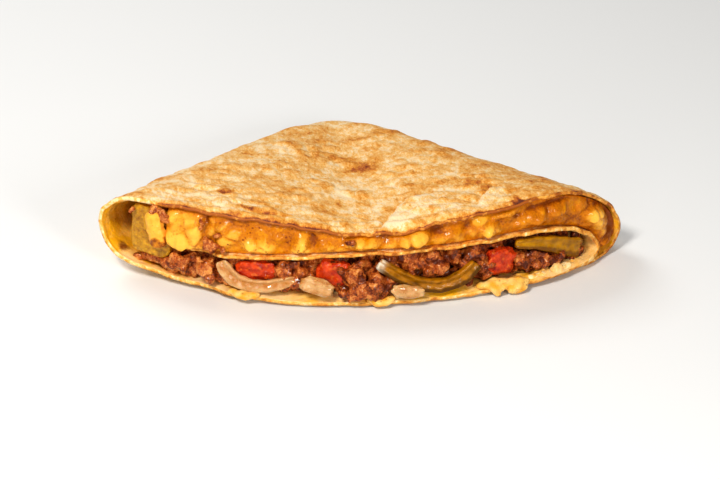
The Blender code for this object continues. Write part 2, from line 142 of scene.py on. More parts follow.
class Recipe:
    """One material while it is made, around its Principled shader."""

    def __init__(self, name: str) -> None:
        """Starts a material.

        Args:
            name: the material's name.
        """
        self.material = bpy.data.materials.new(name)
        self.material.use_nodes = True
        self.tree = self.material.node_tree
        self.shader = self.tree.nodes["Principled BSDF"]
        place = self.node("TexCoord", {}, {})
        self.place = place.outputs["Object"]

    def node(self, kind: str, settings: dict, inputs: dict) -> Node:
        """Adds a node.

        Args:
            kind: the node's type, without ShaderNode.
            settings: its own settings, set first; stops fills a colour ramp.
            inputs: values or links of its sockets, by name or number.

        Returns:
            The node.
        """
        node = self.tree.nodes.new("ShaderNode" + kind)
        for name, value in settings.items():
            if name == "stops":
                self._fill_ramp(node.color_ramp, value)
            else:
                setattr(node, name, value)
        for name, value in inputs.items():
            self.plug(node.inputs[name], value)
        return node

    def _fill_ramp(self, ramp: ColorRamp, stops: Sequence[tuple]) -> None:
        """Gives a colour ramp its stops.

        Args:
            ramp: the ramp.
            stops: the stops, each a place and a colour.
        """
        while len(ramp.elements) < len(stops):
            ramp.elements.new(0.5)
        for element, (position, colour) in zip(ramp.elements, stops):
            element.position = position
            element.color = (*colour, 1.0)

    def plug(self, socket: NodeSocket, value: Paint) -> None:
        """Links a socket, or sets its constant.

        Args:
            socket: the socket.
            value: what it takes: a link, a number or a colour.
        """
        if isinstance(value, Value):
            value = value.socket
        if isinstance(value, NodeSocket):
            self.tree.links.new(value, socket)
        elif socket.type == "RGBA" and len(value) == 3:
            socket.default_value = (*value, 1.0)
        else:
            socket.default_value = value

    def attribute(self, name: str) -> Value:
        """A number painted on the piece's points."""
        node = self.node("Attribute", {"attribute_name": name}, {})
        return Value(self, node.outputs["Fac"])

    def grain(
        self, size: float, detail: float = 3.0, stretch: Triple = (1.0, 1.0, 1.0), seed: float = 0.0
    ) -> Value:
        """Cloudy noise.

        Args:
            size: width of its patches.
            detail: how many finer layers it has.
            stretch: how much longer the patches are along X, Y and Z.
            seed: moves the pattern, so that two grains differ.

        Returns:
            Noise about 0.5.
        """
        scale = tuple(1.0 / part for part in stretch)
        inputs = {"Vector": self._moved(seed, scale), "Scale": 1.0 / size, "Detail": detail}
        inputs["Roughness"] = 0.6
        return Value(self, self.node("TexNoise", {}, inputs).outputs[0])

    def _moved(self, seed: float, scale: Triple = (1.0, 1.0, 1.0)) -> NodeSocket:
        """The piece's own place, moved and scaled."""
        inputs = {"Vector": self.place, "Scale": scale, "Location": (seed, seed, 0)}
        return self.node("Mapping", {}, inputs).outputs[0]

    def _scattered(self, size: float, seed: float) -> Node:
        """A node of scattered points, this far apart, each with its own cell."""
        return self.node("TexVoronoi", {}, {"Vector": self._moved(seed), "Scale": 1.0 / size})

    def cells(self, size: float, seed: float = 0.0) -> Value:
        """Distance to the nearest of many scattered points, this far apart."""
        return Value(self, self._scattered(size, seed).outputs["Distance"])

    def cell_shade(self, size: float, seed: float = 0.0) -> Value:
        """One random number for each of many cells, this wide."""
        colours = self._scattered(size, seed).outputs["Color"]
        return Value(self, self.node("SeparateColor", {}, {0: colours}).outputs[0])

    def ramp(self, value: Value, stops: Sequence[tuple]) -> NodeSocket:
        """Colours a number by stops of place and colour."""
        return self.node("ValToRGB", {"stops": stops}, {0: value}).outputs[0]

    def mix(self, share: Paint, first: Paint, second: Paint, way: str = "MIX") -> NodeSocket:
        """Mixes two colours.

        Args:
            share: how much of the second colour there is.
            first: the first colour.
            second: the second colour.
            way: Blender's name of the blend.

        Returns:
            The mixed colour.
        """
        settings = {"data_type": "RGBA", "blend_type": way}
        return self.node("Mix", settings, {0: share, 6: first, 7: second}).outputs[2]

    def bump(self, height: Value, depth: float, under: Optional[Paint] = None) -> NodeSocket:
        """A normal bent by a height from 0 to 1.

        Args:
            height: the height.
            depth: how deep 1 is, in metres.
            under: the normal of a broader bump below it.

        Returns:
            The bent normal.
        """
        inputs = {"Height": height, "Distance": depth, "Strength": 1.0}
        if under is not None:
            inputs["Normal"] = under
        return self.node("Bump", {}, inputs).outputs[0]

    def finish(self, **sockets: Paint) -> Material:
        """Plugs the shader.

        Args:
            **sockets: the shader's sockets, named with _ for a space.

        Returns:
            The finished material.
        """
        for name, value in sockets.items():
            self.plug(self.shader.inputs[name.replace("_", " ")], value)
        return self.material


# --- Finishes ---


@dataclass(frozen=True)
class ToastedFlour:
    """The tortilla's outer face: dry, floury and pale, browned where it touched the griddle."""

    floury: Colour = (0.92, 0.70, 0.42)
    baked: Colour = (0.86, 0.49, 0.15)
    golden: Colour = (0.72, 0.29, 0.03)
    brown: Colour = (0.42, 0.10, 0.010)
    scorched: Colour = (0.15, 0.028, 0.006)
    roughness: float = 0.55
    grain_depth: float = 0.5 * MM

    def material(self) -> Material:
        """Builds the material, which reads the painted toast.

        Returns:
            The material.
        """
        recipe = Recipe("tortilla_toasted")
        toast = recipe.attribute("toast")
        flecks = recipe.grain(1.9 * MM, 6.0, (1.0, 2.0, 1.0), seed=3.1)
        fine = recipe.grain(0.7 * MM, 3.0, (1.0, 1.6, 1.0), seed=7.7)
        cloud = recipe.grain(7 * MM, 4.0, (1.0, 2.0, 1.0), seed=1.3)
        shade = toast + (flecks - 0.5) * 1.1 + (cloud - 0.5) * 0.9 + (fine - 0.5) * 0.7
        stops = (
            (0.0, self.floury),
            (0.26, self.baked),
            (0.50, self.golden),
            (0.78, self.brown),
            (1.0, self.scorched),
        )
        colour = recipe.ramp(shade.clamped(), stops)
        specks = recipe.grain(1.0 * MM, 2.0, seed=15.0).between(0.66, 0.74) * flecks.between(0.5, 0.6)
        colour = recipe.mix(specks * 0.75, colour, self.brown)
        normal = recipe.bump(fine * 0.5 + flecks, self.grain_depth)
        return recipe.finish(
            Base_Color=colour,
            Roughness=self.roughness + (fine - 0.5) * 0.3,
            Normal=normal,
            Subsurface_Weight=0.06,
            Subsurface_Radius=(0.004, 0.002, 0.001),
            Specular_IOR_Level=0.4,
        )


@dataclass(frozen=True)
class TornRim:
    """The sheet's rim: pale dough, toasted where the griddle touched it."""

    dough: Colour = (0.93, 0.70, 0.37)
    warm: Colour = (0.88, 0.50, 0.12)
    golden: Colour = (0.78, 0.34, 0.05)
    brown: Colour = (0.38, 0.105, 0.012)

    def material(self) -> Material:
        """Builds the material, which reads the painted toast.

        Returns:
            The material.
        """
        recipe = Recipe("tortilla_rim")
        flecks = recipe.grain(2.2 * MM, 4.0, seed=6.1)
        shade = recipe.attribute("toast") + (flecks - 0.5) * 1.9
        stops = ((0.1, self.dough), (0.3, self.warm), (0.5, self.golden), (0.9, self.brown))
        return recipe.finish(
            Base_Color=recipe.ramp(shade.clamped(), stops),
            Roughness=0.5,
            Normal=recipe.bump(flecks, 0.4 * MM),
            Specular_IOR_Level=0.25,
            Subsurface_Weight=0.1,
            Subsurface_Radius=(0.004, 0.002, 0.001),
        )


@dataclass(frozen=True)
class SoakedFlour:
    """The tortilla's inner face: smooth, moist and yellow with fat and cheese."""

    pale: Colour = (0.89, 0.58, 0.26)
    soaked: Colour = (0.86, 0.42, 0.012)
    fried: Colour = (0.45, 0.13, 0.004)
    brown: Colour = (0.24, 0.07, 0.008)
    roughness: float = 0.32

    def material(self) -> Material:
        """Builds the material, which reads the painted fat and toast.

        Returns:
            The material.
        """
        recipe = Recipe("tortilla_soaked")
        fat = recipe.attribute("fat")
        toast = recipe.attribute("toast")
        cloud = recipe.grain(5 * MM, 3.0, seed=2.0)
        fine = recipe.grain(1.1 * MM, 3.0, seed=5.0)
        share = fat + (cloud - 0.5) * 1.3 + (fine - 0.5) * 0.7
        colour = recipe.mix(share.clamped(), self.pale, self.soaked)
        spots = (toast + (fine - 0.5) * 0.4).between(0.45, 0.95)
        colour = recipe.mix(spots, colour, self.brown)
        specks = recipe.grain(1.3 * MM, 3.0, seed=12.0).between(0.66, 0.72) * cloud.between(0.42, 0.55)
        colour = recipe.mix(specks * 0.7, colour, self.fried)
        normal = recipe.bump(cloud + fine * 0.3, 0.6 * MM)
        return recipe.finish(
            Base_Color=colour,
            Roughness=self.roughness + (cloud - 0.5) * 0.4,
            Normal=normal,
            Specular_IOR_Level=0.3,
            Subsurface_Weight=0.08,
            Subsurface_Radius=(0.005, 0.0025, 0.001),
        )


@dataclass(frozen=True)
class MeltedCheese:
    """Grilled yellow cheese: glossy, cloudy, stained brown by the griddle and the meat."""

    name: str
    creamy: Colour = (0.94, 0.48, 0.065)
    amber: Colour = (0.67, 0.245, 0.001)
    burnt: Colour = (0.50, 0.145, 0.001)
    brown: Colour = (0.18, 0.03, 0.002)
    speck_share: float = 0.0

    def material(self) -> Material:
        """Builds the material, which reads the painted cream and stain; on the melted layer these also
        carry painted light and shade.

        Returns:
            The material.
        """
        recipe = Recipe(self.name)
        cream = recipe.attribute("cream")
        stain = recipe.attribute("stain")
        cloud = recipe.grain(4 * MM, 4.0, seed=4.2)
        fine = recipe.grain(0.9 * MM, 4.0, seed=9.9)
        share = cream + (cloud - 0.5) * 1.0
        colour = recipe.mix(share.clamped(), self.amber, self.creamy)
        dark = stain + (fine - 0.5) * 1.4 + (cloud - 0.5) * 1.1
        colour = recipe.mix(dark.between(0.05, 0.55) * 0.8, colour, self.burnt)
        colour = recipe.mix(dark.between(0.55, 1.2) * 0.8, colour, self.brown)
        if self.speck_share:
            specks = recipe.cells(1.7 * MM, seed=0.4).between(0.36, 0.16)
            specks = specks * recipe.attribute("specks") * cloud.between(0.46, 0.56)
            colour = recipe.mix(specks * self.speck_share, colour, self.brown)
        normal = recipe.bump(fine, 0.24 * MM)
        normal = recipe.bump(cloud, 0.7 * MM, normal)
        return recipe.finish(
            Base_Color=colour,
            Roughness=0.26 + cloud * 0.25,
            Normal=normal,
            Specular_IOR_Level=0.12,
            Coat_Weight=0.22,
            Coat_Roughness=0.05,
            Subsurface_Weight=0.12,
            Subsurface_Radius=(0.004, 0.003, 0.0008),
        )


@dataclass(frozen=True)
class BrownedBeef:
    """Minced beef, fried brown and wet with fat."""

    browned: Colour = (0.10, 0.015, 0.003)
    lean: Colour = (0.42, 0.095, 0.014)
    fatty: Colour = (0.82, 0.35, 0.09)

    def material(self) -> Material:
        """Builds the material, which reads the painted fat.

        Returns:
            The material.
        """
        recipe = Recipe("beef_browned")
        cloud = recipe.grain(3.4 * MM, 3.0, seed=6.0)
        fine = recipe.grain(0.7 * MM, 4.0, seed=8.0)
        crumb = recipe.cell_shade(2.6 * MM, seed=3.0)
        shade = (cloud - 0.5) * 1.6 + (fine - 0.5) * 1.4 + crumb * 0.5 + recipe.attribute("fat")
        stops = ((0.05, self.browned), (0.45, self.lean), (0.95, self.fatty))
        normal = recipe.bump(fine, 0.5 * MM)
        wet = recipe.grain(2.0 * MM, 2.0, seed=11.0)
        return recipe.finish(
            Base_Color=recipe.ramp(shade.clamped(), stops),
            Roughness=0.15 + wet * 0.45,
            Normal=normal,
            Specular_IOR_Level=0.15,
            Coat_Weight=0.35,
            Coat_Roughness=0.07,
            Subsurface_Weight=0.08,
            Subsurface_Radius=(0.003, 0.001, 0.0005),
        )


@dataclass(frozen=True)
class WetFlesh:
    """Soft vegetable flesh, wet and a little clear: tomato, onion or pepper."""

    name: str
    deep: Colour
    light: Colour
    glaze: float = 0.5
    patch: float = 3.5 * MM
    depth: float = 0.35 * MM
    clear: float = 0.25
    glass: float = 0.0
    stretch: Triple = (1.0, 1.0, 1.0)
    # Pale pith; on the pepper's left end it also serves as a painted highlight
    pith: Colour = (0.82, 0.74, 0.58)

    def material(self) -> Material:
        """Builds the material, which reads the painted rind and pith where there are any; the rind mark is
        painted shade on the onion, and the pith mark a painted highlight on the pepper.

        Returns:
            The material.
        """
        recipe = Recipe(self.name)
        cloud = recipe.grain(self.patch, 3.0, self.stretch, seed=2.7)
        fine = recipe.grain(0.8 * MM, 3.0, seed=5.1)
        rind = recipe.attribute("rind")
        share = (cloud - 0.5) * 1.6 + 0.5 + (fine - 0.5) * 0.4 - rind
        colour = recipe.mix(share.clamped(), self.deep, self.light)
        colour = recipe.mix(recipe.attribute("pith").clamped(), colour, self.pith)
        normal = recipe.bump(cloud * 0.7 + fine * 0.5, self.depth)
        return recipe.finish(
            Base_Color=colour,
            Roughness=0.2 + fine * 0.2,
            Normal=normal,
            Specular_IOR_Level=0.12,
            Coat_Weight=self.glaze,
            Coat_Roughness=0.05,
            Transmission_Weight=self.glass,
            Subsurface_Weight=self.clear,
            Subsurface_Radius=(0.004, 0.002, 0.001),
        )


TOMATO = WetFlesh(
    "tomato_flesh",
    deep=(0.26, 0.005, 0.001),
    light=(0.72, 0.075, 0.006),
    patch=2.6 * MM,
    depth=0.6 * MM,
    pith=(0.80, 0.19, 0.02),
)
ONION = WetFlesh(
    "onion_flesh", deep=(0.56, 0.21, 0.03), light=(0.82, 0.52, 0.23), glaze=0.8, clear=0.4, glass=0.2
)
# Pepper's fibres run along X
FIBRES: Triple = (3.0, 1.0, 1.0)
PEPPER = WetFlesh(
    "pepper_flesh", deep=(0.11, 0.042, 0.001), light=(0.42, 0.165, 0.002), glaze=0.15, stretch=FIBRES
)
RING = WetFlesh(
    "pepper_bright", deep=(0.20, 0.075, 0.001), light=(0.48, 0.22, 0.003), glaze=0.25, stretch=FIBRES
)
PICKLE = WetFlesh(
    "pickle_flesh", deep=(0.32, 0.12, 0.001), light=(0.74, 0.38, 0.015), patch=1.4 * MM, depth=0.9 * MM
)
# The flesh of each slot's pieces, where they have none of their own
FLESH = {"tomato": TOMATO, "onion": ONION, "pickle": PEPPER}
LOOSE_CHEESE = MeltedCheese(
    "cheese_loose", creamy=(0.94, 0.62, 0.21), amber=(0.82, 0.38, 0.035), speck_share=0.5
)


# --- The fold ---


class Stretch(Enum):
    """The stretches of the sheet, from its inner edge to its outer one."""

    MIDDLE = 0
    INNER_TURN = 1
    BOTTOM = 2
    LEFT_TURN = 3
    TOP = 4
    OUTER_TURN = 5
    FLAP = 6


def smooth(x: float) -> float:
    """0 below 0, 1 above 1, and an even S between."""
    x = min(max(x, 0.0), 1.0)
    return x * x * (3.0 - 2.0 * x)


def bell(x: float) -> float:
    """1 at 0, falling off evenly to both sides."""
    return math.exp(-x * x)


def window(x: float, start: float, end: float, ease: float) -> float:
    """1 between start and end, easing to 0 inside both."""
    return smooth((x - start) / ease) * smooth((end - x) / ease)


def noise_at(at: Vector, size: float) -> float:
    """Noise at a point, with patches this wide in millimetres."""
    return noise.noise(at / (size * MM))


def noise_along(across: float, size: float, row: float, layer: float) -> float:
    """Noise along the front, with patches this wide in millimetres; row and layer choose which."""
    return noise.noise(Vector((across / (size * MM), row, layer)))


@dataclass(frozen=True)
class FoldedSheet:
    """The fold: a quarter of a round, from its rounded tip to the arc in front.

    A place is given by across, the distance along the front arc from its middle; along, 0 at the
    tip and 1 at the front; and a height.
    """

    disc: float = 157 * MM
    thickness: float = 2.0 * MM
    gap: float = 0.4 * MM
    front_angle: float = math.radians(43.5)
    side_angle: float = math.radians(40.5)
    nose: float = 20 * MM
    nose_back: float = 18 * MM
    nose_spread: float = 1.3 * MM
    nose_height: float = 13 * MM
    nose_depth: float = 4 * MM
    left_bow: float = 1.6 * MM
    bulge: Triple = (5 * MM, 75 * MM, 28 * MM)
    left_recess: Triple = (5 * MM, -115 * MM, -58 * MM)
    recess_ease: float = 18 * MM
    flap_recess: Triple = (4 * MM, 70 * MM, 100 * MM)
    low: float = 12 * MM
    flap_z: float = 1.0 * MM
    bottom_z: float = 3.4 * MM
    top_z: float = 38.8 * MM
    sag: Triple = (5.6 * MM, -4 * MM, 21 * MM)
    middle_z: float = 19.2 * MM
    middle_rise: Triple = (5.0 * MM, -80 * MM, 5 * MM)
    tip_scale: float = 0.18
    tip_share: float = 0.08
    inner_start: float = 0.25

    @cached_property
    def centre_line(self) -> float:
        """Y of the arc's centre, which the tip's place in the frame gives."""
        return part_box("tortilla")[1].y - self.nose - self.nose_spread + self.nose_back

    def width_scale(self, along: float) -> float:
        """How much narrower than the front arc the wrap is at a place along it."""
        share = self.nose * (math.pi / 2 - self.side_angle) / (self.front_angle * self.disc)
        return share + (1.0 - share) * along

    def flat(self, across: float, along: float) -> Vector:
        """A place on the sheet laid flat, in true lengths."""
        return Vector((across * self.width_scale(along), along * self.disc))

    def raised(self, height: float, along: float) -> float:
        """A height above the bottom panel, scaled down towards the tip.

        Args:
            height: the height at the front.
            along: place along.

        Returns:
            The height there.
        """
        floor = self.bottom_z + self.thickness + self.gap
        tip = self.tip_scale
        scale = tip * math.sqrt(min(1.0, along / self.tip_share)) + (1.0 - tip) * along
        return floor + (height - floor) * scale

    def plan(self, across: float, along: float, height: float, reach: float = 0.0) -> Vector:
        """A point of the wrap.

        Args:
            across: distance along the front arc.
            along: share of the way from tip to front.
            height: height.
            reach: how far the front edge goes past the arc there.

        Returns:
            The point.
        """
        angle = across / self.disc
        turn = angle * (math.pi / 2 - self.side_angle) / self.front_angle
        back = Vector((self.nose * math.sin(turn), self.nose * math.cos(turn) - self.nose_back, 0.0))
        front = Vector((math.sin(angle), -math.cos(angle), 0.0)) * (self.disc + reach)
        half = self.front_angle * self.disc
        bow = self.left_bow * math.sin(math.pi * along) * min(0.0, across / half)
        return back.lerp(front, along) + Vector((bow, self.centre_line, height))

    def spot(self, across: float, radius: float, height: float) -> Vector:
        """A point by its distance across, its radius from the arc's centre and its height."""
        angle = across / self.disc
        return Vector((radius * math.sin(angle), self.centre_line - radius * math.cos(angle), height))

    def bottom_reach(self, across: float, height: float) -> float:
        """How far the bottom panel's front edge goes past the arc: out on the right, back on the left.

        Args:
            across: place across.
            height: height.

        Returns:
            The distance.
        """
        out, middle, width = self.bulge
        back, start, end = self.left_recess
        swell = out * bell((across - middle) / width)
        recess = back * window(across, start, end, self.recess_ease)
        return (swell - recess) * (1.0 - smooth(height / self.low))

    def flap_reach(self, across: float, height: float) -> float:
        """How far the flap's front edge stays behind the arc, away from its fold.

        Args:
            across: place across.
            height: height.

        Returns:
            The distance, below 0.
        """
        back, start, end = self.flap_recess
        share = 1.0 - smooth((across - start) / (end - start))
        return -back * share * (1.0 - smooth(height / self.low))

    def reach(self, stretch: Stretch, across: float, height: float) -> float:
        """How far the front edge of a stretch goes past the arc.

        Args:
            stretch: the stretch.
            across: place across.
            height: height.

        Returns:
            The distance.
        """
        if stretch in (Stretch.OUTER_TURN, Stretch.FLAP):
            return self.flap_reach(across, height)
        if stretch in (Stretch.INNER_TURN, Stretch.BOTTOM, Stretch.LEFT_TURN):
            return self.bottom_reach(across, height)
        return 0.0

    def top_level(self, across: float, along: float) -> float:
        """Height of the top panel, which sags in the middle.

        Args:
            across: place across.
            along: place along.

        Returns:
            The height.
        """
        depth, middle, width = self.sag
        sag = depth * math.exp(-0.5 * ((across - middle) / width) ** 2)
        return self.raised(self.top_z - sag, along)

    def middle_level(self, across: float, along: float) -> float:
        """Height of the middle panel, which climbs to the right and levels out."""
        rise, start, end = self.middle_rise
        return self.raised(self.middle_z + rise * smooth((across - start) / (end - start)), along)

    def level(self, stretch: Stretch, across: float, along: float) -> float:
        """Height of a flat stretch.

        Args:
            stretch: the stretch.
            across: place across.
            along: place along.

        Returns:
            The height.
        """
        if stretch is Stretch.TOP:
            return self.top_level(across, along)
        if stretch is Stretch.MIDDLE:
            return self.middle_level(across, along)
        return self.bottom_z if stretch is Stretch.BOTTOM else self.flap_z

    def curve(self, stretch: Stretch, along: float, share: float) -> np.ndarray:
        """Where the sheet's middle surface runs, as (across, height).

        Args:
            stretch: the stretch of the sheet.
            along: share of the way from tip to front.
            share: share of the way through the stretch.

        Returns:
            The place.
        """
        if stretch in RUNS:
            start, end = RUNS[stretch]
            across = start + (end - start) * share
            return np.array((across, self.level(stretch, across, along)))
        (first, start), out_start, out_end, (last, end) = TURNS[stretch]
        floor = self.level(last, end, along)
        a = np.array((start, self.level(first, start, along)))
        b = np.array((out_start[0], self.raised(out_start[1], along)))
        c = np.array((out_end[0], max(floor, self.raised(out_end[1], along))))
        d = np.array((end, floor))
        t = 1.0 - share if stretch is Stretch.LEFT_TURN else share
        rest = 1.0 - t
        return a * rest**3 + 3 * b * rest**2 * t + 3 * c * rest * t**2 + d * t**3

    def beside(
        self, stretch: Stretch, along: float, shares: Iterable[float], distance: float
    ) -> np.ndarray:
        """Points beside a stretch, at a true distance from it.

        Args:
            stretch: the stretch.
            along: share of the way from tip to front.
            shares: shares of the way through the stretch, from its upper end on a turn.
            distance: the distance, to the left of the way the shares run.

        Returns:
            The points, as rows of (across, height).
        """
        width = self.width_scale(along)
        flip = stretch is Stretch.LEFT_TURN

        def at(share: float) -> np.ndarray:
            """The stretch's point at a share of the way, in true widths."""
            share = min(max(share, 0.0), 1.0)
            return self.curve(stretch, along, 1.0 - share if flip else share) * (width, 1.0)

        shares = list(shares)
        points = np.array([at(share) for share in shares])
        run = np.array([at(share + 0.01) - at(share - 0.01) for share in shares])
        run /= np.linalg.norm(run, axis=1)[:, None]
        points += distance * np.column_stack((-run[:, 1], run[:, 0]))
        points[:, 0] /= width
        return points


# The flat stretches: where they start and end across the front
RUNS: dict[Stretch, Pair] = {
    Stretch.MIDDLE: (-80 * MM, 62 * MM),
    Stretch.BOTTOM: (92 * MM, -78 * MM),
    Stretch.TOP: (-92 * MM, 62 * MM),
    Stretch.FLAP: (100 * MM, -50 * MM),
}
# The turns: upper end, two outer points as (across, height), and lower end
TURNS: dict[Stretch, tuple] = {
    Stretch.INNER_TURN: (
        (Stretch.MIDDLE, 62 * MM),
        (90 * MM, 24.5 * MM),
        (118 * MM, 3.4 * MM),
        (Stretch.BOTTOM, 92 * MM),
    ),
    Stretch.LEFT_TURN: (
        (Stretch.TOP, -92 * MM),
        (-128 * MM, 38 * MM),
        (-135 * MM, 4.6 * MM),
        (Stretch.BOTTOM, -78 * MM),
    ),
    Stretch.OUTER_TURN: (
        (Stretch.TOP, 62 * MM),
        (107 * MM, 40 * MM),
        (135 * MM, 3 * MM),
        (Stretch.FLAP, 100 * MM),
    ),
}
SHEET = FoldedSheet()


def height_over(line: np.ndarray, across: float) -> float:
    """Height of a line of (across, height) points at a distance across."""
    line = line[np.argsort(line[:, 0])]
    return float(np.interp(across, line[:, 0], line[:, 1]))


# --- Mesh helpers ---


def block(columns: int, rows: int, layers: int, place: Place) -> BMesh:
    """A box of square faces, bent to a shape.

    Args:
        columns: faces along X.
        rows: faces along Y.
        layers: faces along Z.
        place: gives a corner's point from its share of the way along X, Y and Z.

    Returns:
        The mesh.
    """
    bm = bmesh.new()
    bmesh.ops.create_cube(bm, size=1.0)
    for axis, cells in enumerate((columns, rows, layers)):
        if cells > 1:
            edges = [e for e in bm.edges if abs((e.verts[0].co - e.verts[1].co)[axis]) > 0.5]
            bmesh.ops.subdivide_edges(bm, edges=edges, cuts=cells - 1, use_grid_fill=True)
    for vert in bm.verts:
        vert.co = place(*(vert.co + Vector((0.5, 0.5, 0.5))))
    bmesh.ops.recalc_face_normals(bm, faces=bm.faces)
    return bm


def paint(bm: BMesh, **marks: Callable[[Vector], float]) -> None:
    """Stores numbers on a mesh's points.

    Args:
        bm: the mesh.
        **marks: rules that give a number for a point's place, by the number's name.
    """
    for name, rule in marks.items():
        layer = bm.verts.layers.float.get(name) or bm.verts.layers.float.new(name)
        for vert in bm.verts:
            vert[layer] = rule(vert.co)


def object_of(
    name: str, bm: BMesh, materials: Sequence[Material]
) -> Object:
    """Makes a smooth object of a mesh and frees the bmesh.

    Args:
        name: the object's name.
        bm: the mesh.
        materials: its materials.

    Returns:
        The object.
    """
    mesh = bpy.data.meshes.new(name)
    bm.to_mesh(mesh)
    bm.free()
    mesh.shade_smooth()
    obj = bpy.data.objects.new(name, mesh)
    bpy.context.scene.collection.objects.link(obj)
    for material in materials:
        mesh.materials.append(material)
    return obj


def applied(obj: Object) -> Object:
    """Replaces an object's mesh by the one that its modifiers make.

    Args:
        obj: the object.

    Returns:
        The same object.
    """
    graph = bpy.context.evaluated_depsgraph_get()
    mesh = bpy.data.meshes.new_from_object(obj.evaluated_get(graph))
    obj.modifiers.clear()
    obj.data = mesh
    return obj


def fused(obj: Object, voxel: float) -> Object:
    """Melts an object's overlapping parts into one skin.

    Args:
        obj: the object.
        voxel: width of the cells.

    Returns:
        The same object.
    """
    fuse = obj.modifiers.new("Fuse", "REMESH")
    fuse.mode = "VOXEL"
    fuse.voxel_size = voxel
    return applied(obj)


@contextmanager
def editing(obj: Object) -> Iterator[BMesh]:
    """Opens an object's mesh for changes, and stores it smooth when they are done.

    Args:
        obj: the object.

    Returns:
        The mesh, while it is open.
    """
    bm = bmesh.new()
    bm.from_mesh(obj.data)
    yield bm
    bm.to_mesh(obj.data)
    bm.free()
    obj.data.shade_smooth()


def relax(bm: BMesh, verts: Sequence[BMVert], rounds: int) -> None:
    """Evens out points of a mesh.

    Args:
        bm: the mesh.
        verts: the points.
        rounds: how many times.
    """
    axes = {"use_axis_x": True, "use_axis_y": True, "use_axis_z": True}
    for _ in range(rounds):
        bmesh.ops.smooth_vert(bm, verts=verts, factor=0.5, **axes)


def add_piece(obj: Object, slot: str, *nodes: str) -> Object:
    """Hands a finished piece to the frame and reports it.

    Args:
        obj: the piece.
        slot: the record's material slot; not used.
        nodes: the CAD nodes that it stands for.

    Returns:
        The piece.
    """
    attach(obj, "root")
    if nodes:
        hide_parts(*nodes)
    triangles = sum(len(face.vertices) - 2 for face in obj.data.polygons)
    logger.info("%s: %d triangles", obj.name, triangles)
    return obj


# --- The tortilla ---


@dataclass(frozen=True)
class Crease:
    """A crease in the top sheet: a dip behind its line and a ledge in front that falls away.

    The line's places are (across, along); lengths are in millimetres.
    """

    line: tuple[Pair, ...]
    height: float
    fall: float
    dip: float
    dip_width: float = 5
    step: float = 1.3

    def lift(self, across: float, along: float) -> float:
        """How much the crease raises the sheet at a place.

        Args:
            across: place across.
            along: place along.

        Returns:
            The height that it adds.
        """
        here = SHEET.flat(across, along)
        points = [SHEET.flat(x * MM, y) for x, y in self.line]
        best, side, place = 1.0, 0.0, 0.0
        for k, (a, b) in enumerate(zip(points, points[1:])):
            run = b - a
            t = min(max((here - a).dot(run) / run.length_squared, 0.0), 1.0)
            off = here - (a + run * t)
            if off.length < best:
                best = off.length
                side = run.x * off.y - run.y * off.x
                place = (k + t) / (len(points) - 1)
        ends = smooth(place / 0.12) * smooth((1.0 - place) / 0.3)
        ahead = best if side > 0 else -best
        up = smooth(0.5 + ahead / (self.step * MM))
        ledge = self.height * MM * up * math.exp(-max(ahead, 0.0) / (self.fall * MM))
        hollow = self.dip * MM * (1.0 - up) * math.exp(-max(-ahead, 0.0) / (self.dip_width * MM))
        return (ledge - hollow) * ends


@dataclass(frozen=True)
class Scorch:
    """A toasted spot, with its lengths in millimetres; along is 0 at the tip and 1 at the front."""

    across: float
    along: float
    wide: float
    deep: float
    strength: float

    def toast(self, across: float, along: float) -> float:
        """How brown the spot makes a place, with an uneven edge.

        Args:
            across: place across.
            along: place along.

        Returns:
            How brown it is.
        """
        x = (across - self.across * MM) * SHEET.width_scale(along) / (self.wide * MM)
        y = (along - self.along) * SHEET.disc / (self.deep * MM)
        if abs(x) > 2.5 or abs(y) > 2.5:
            return 0.0
        wobble = noise_at(Vector((across, along * SHEET.disc, self.wide * MM)), 3.2)
        return self.strength * bell(math.hypot(x, y) * (1.0 + 0.45 * wobble))


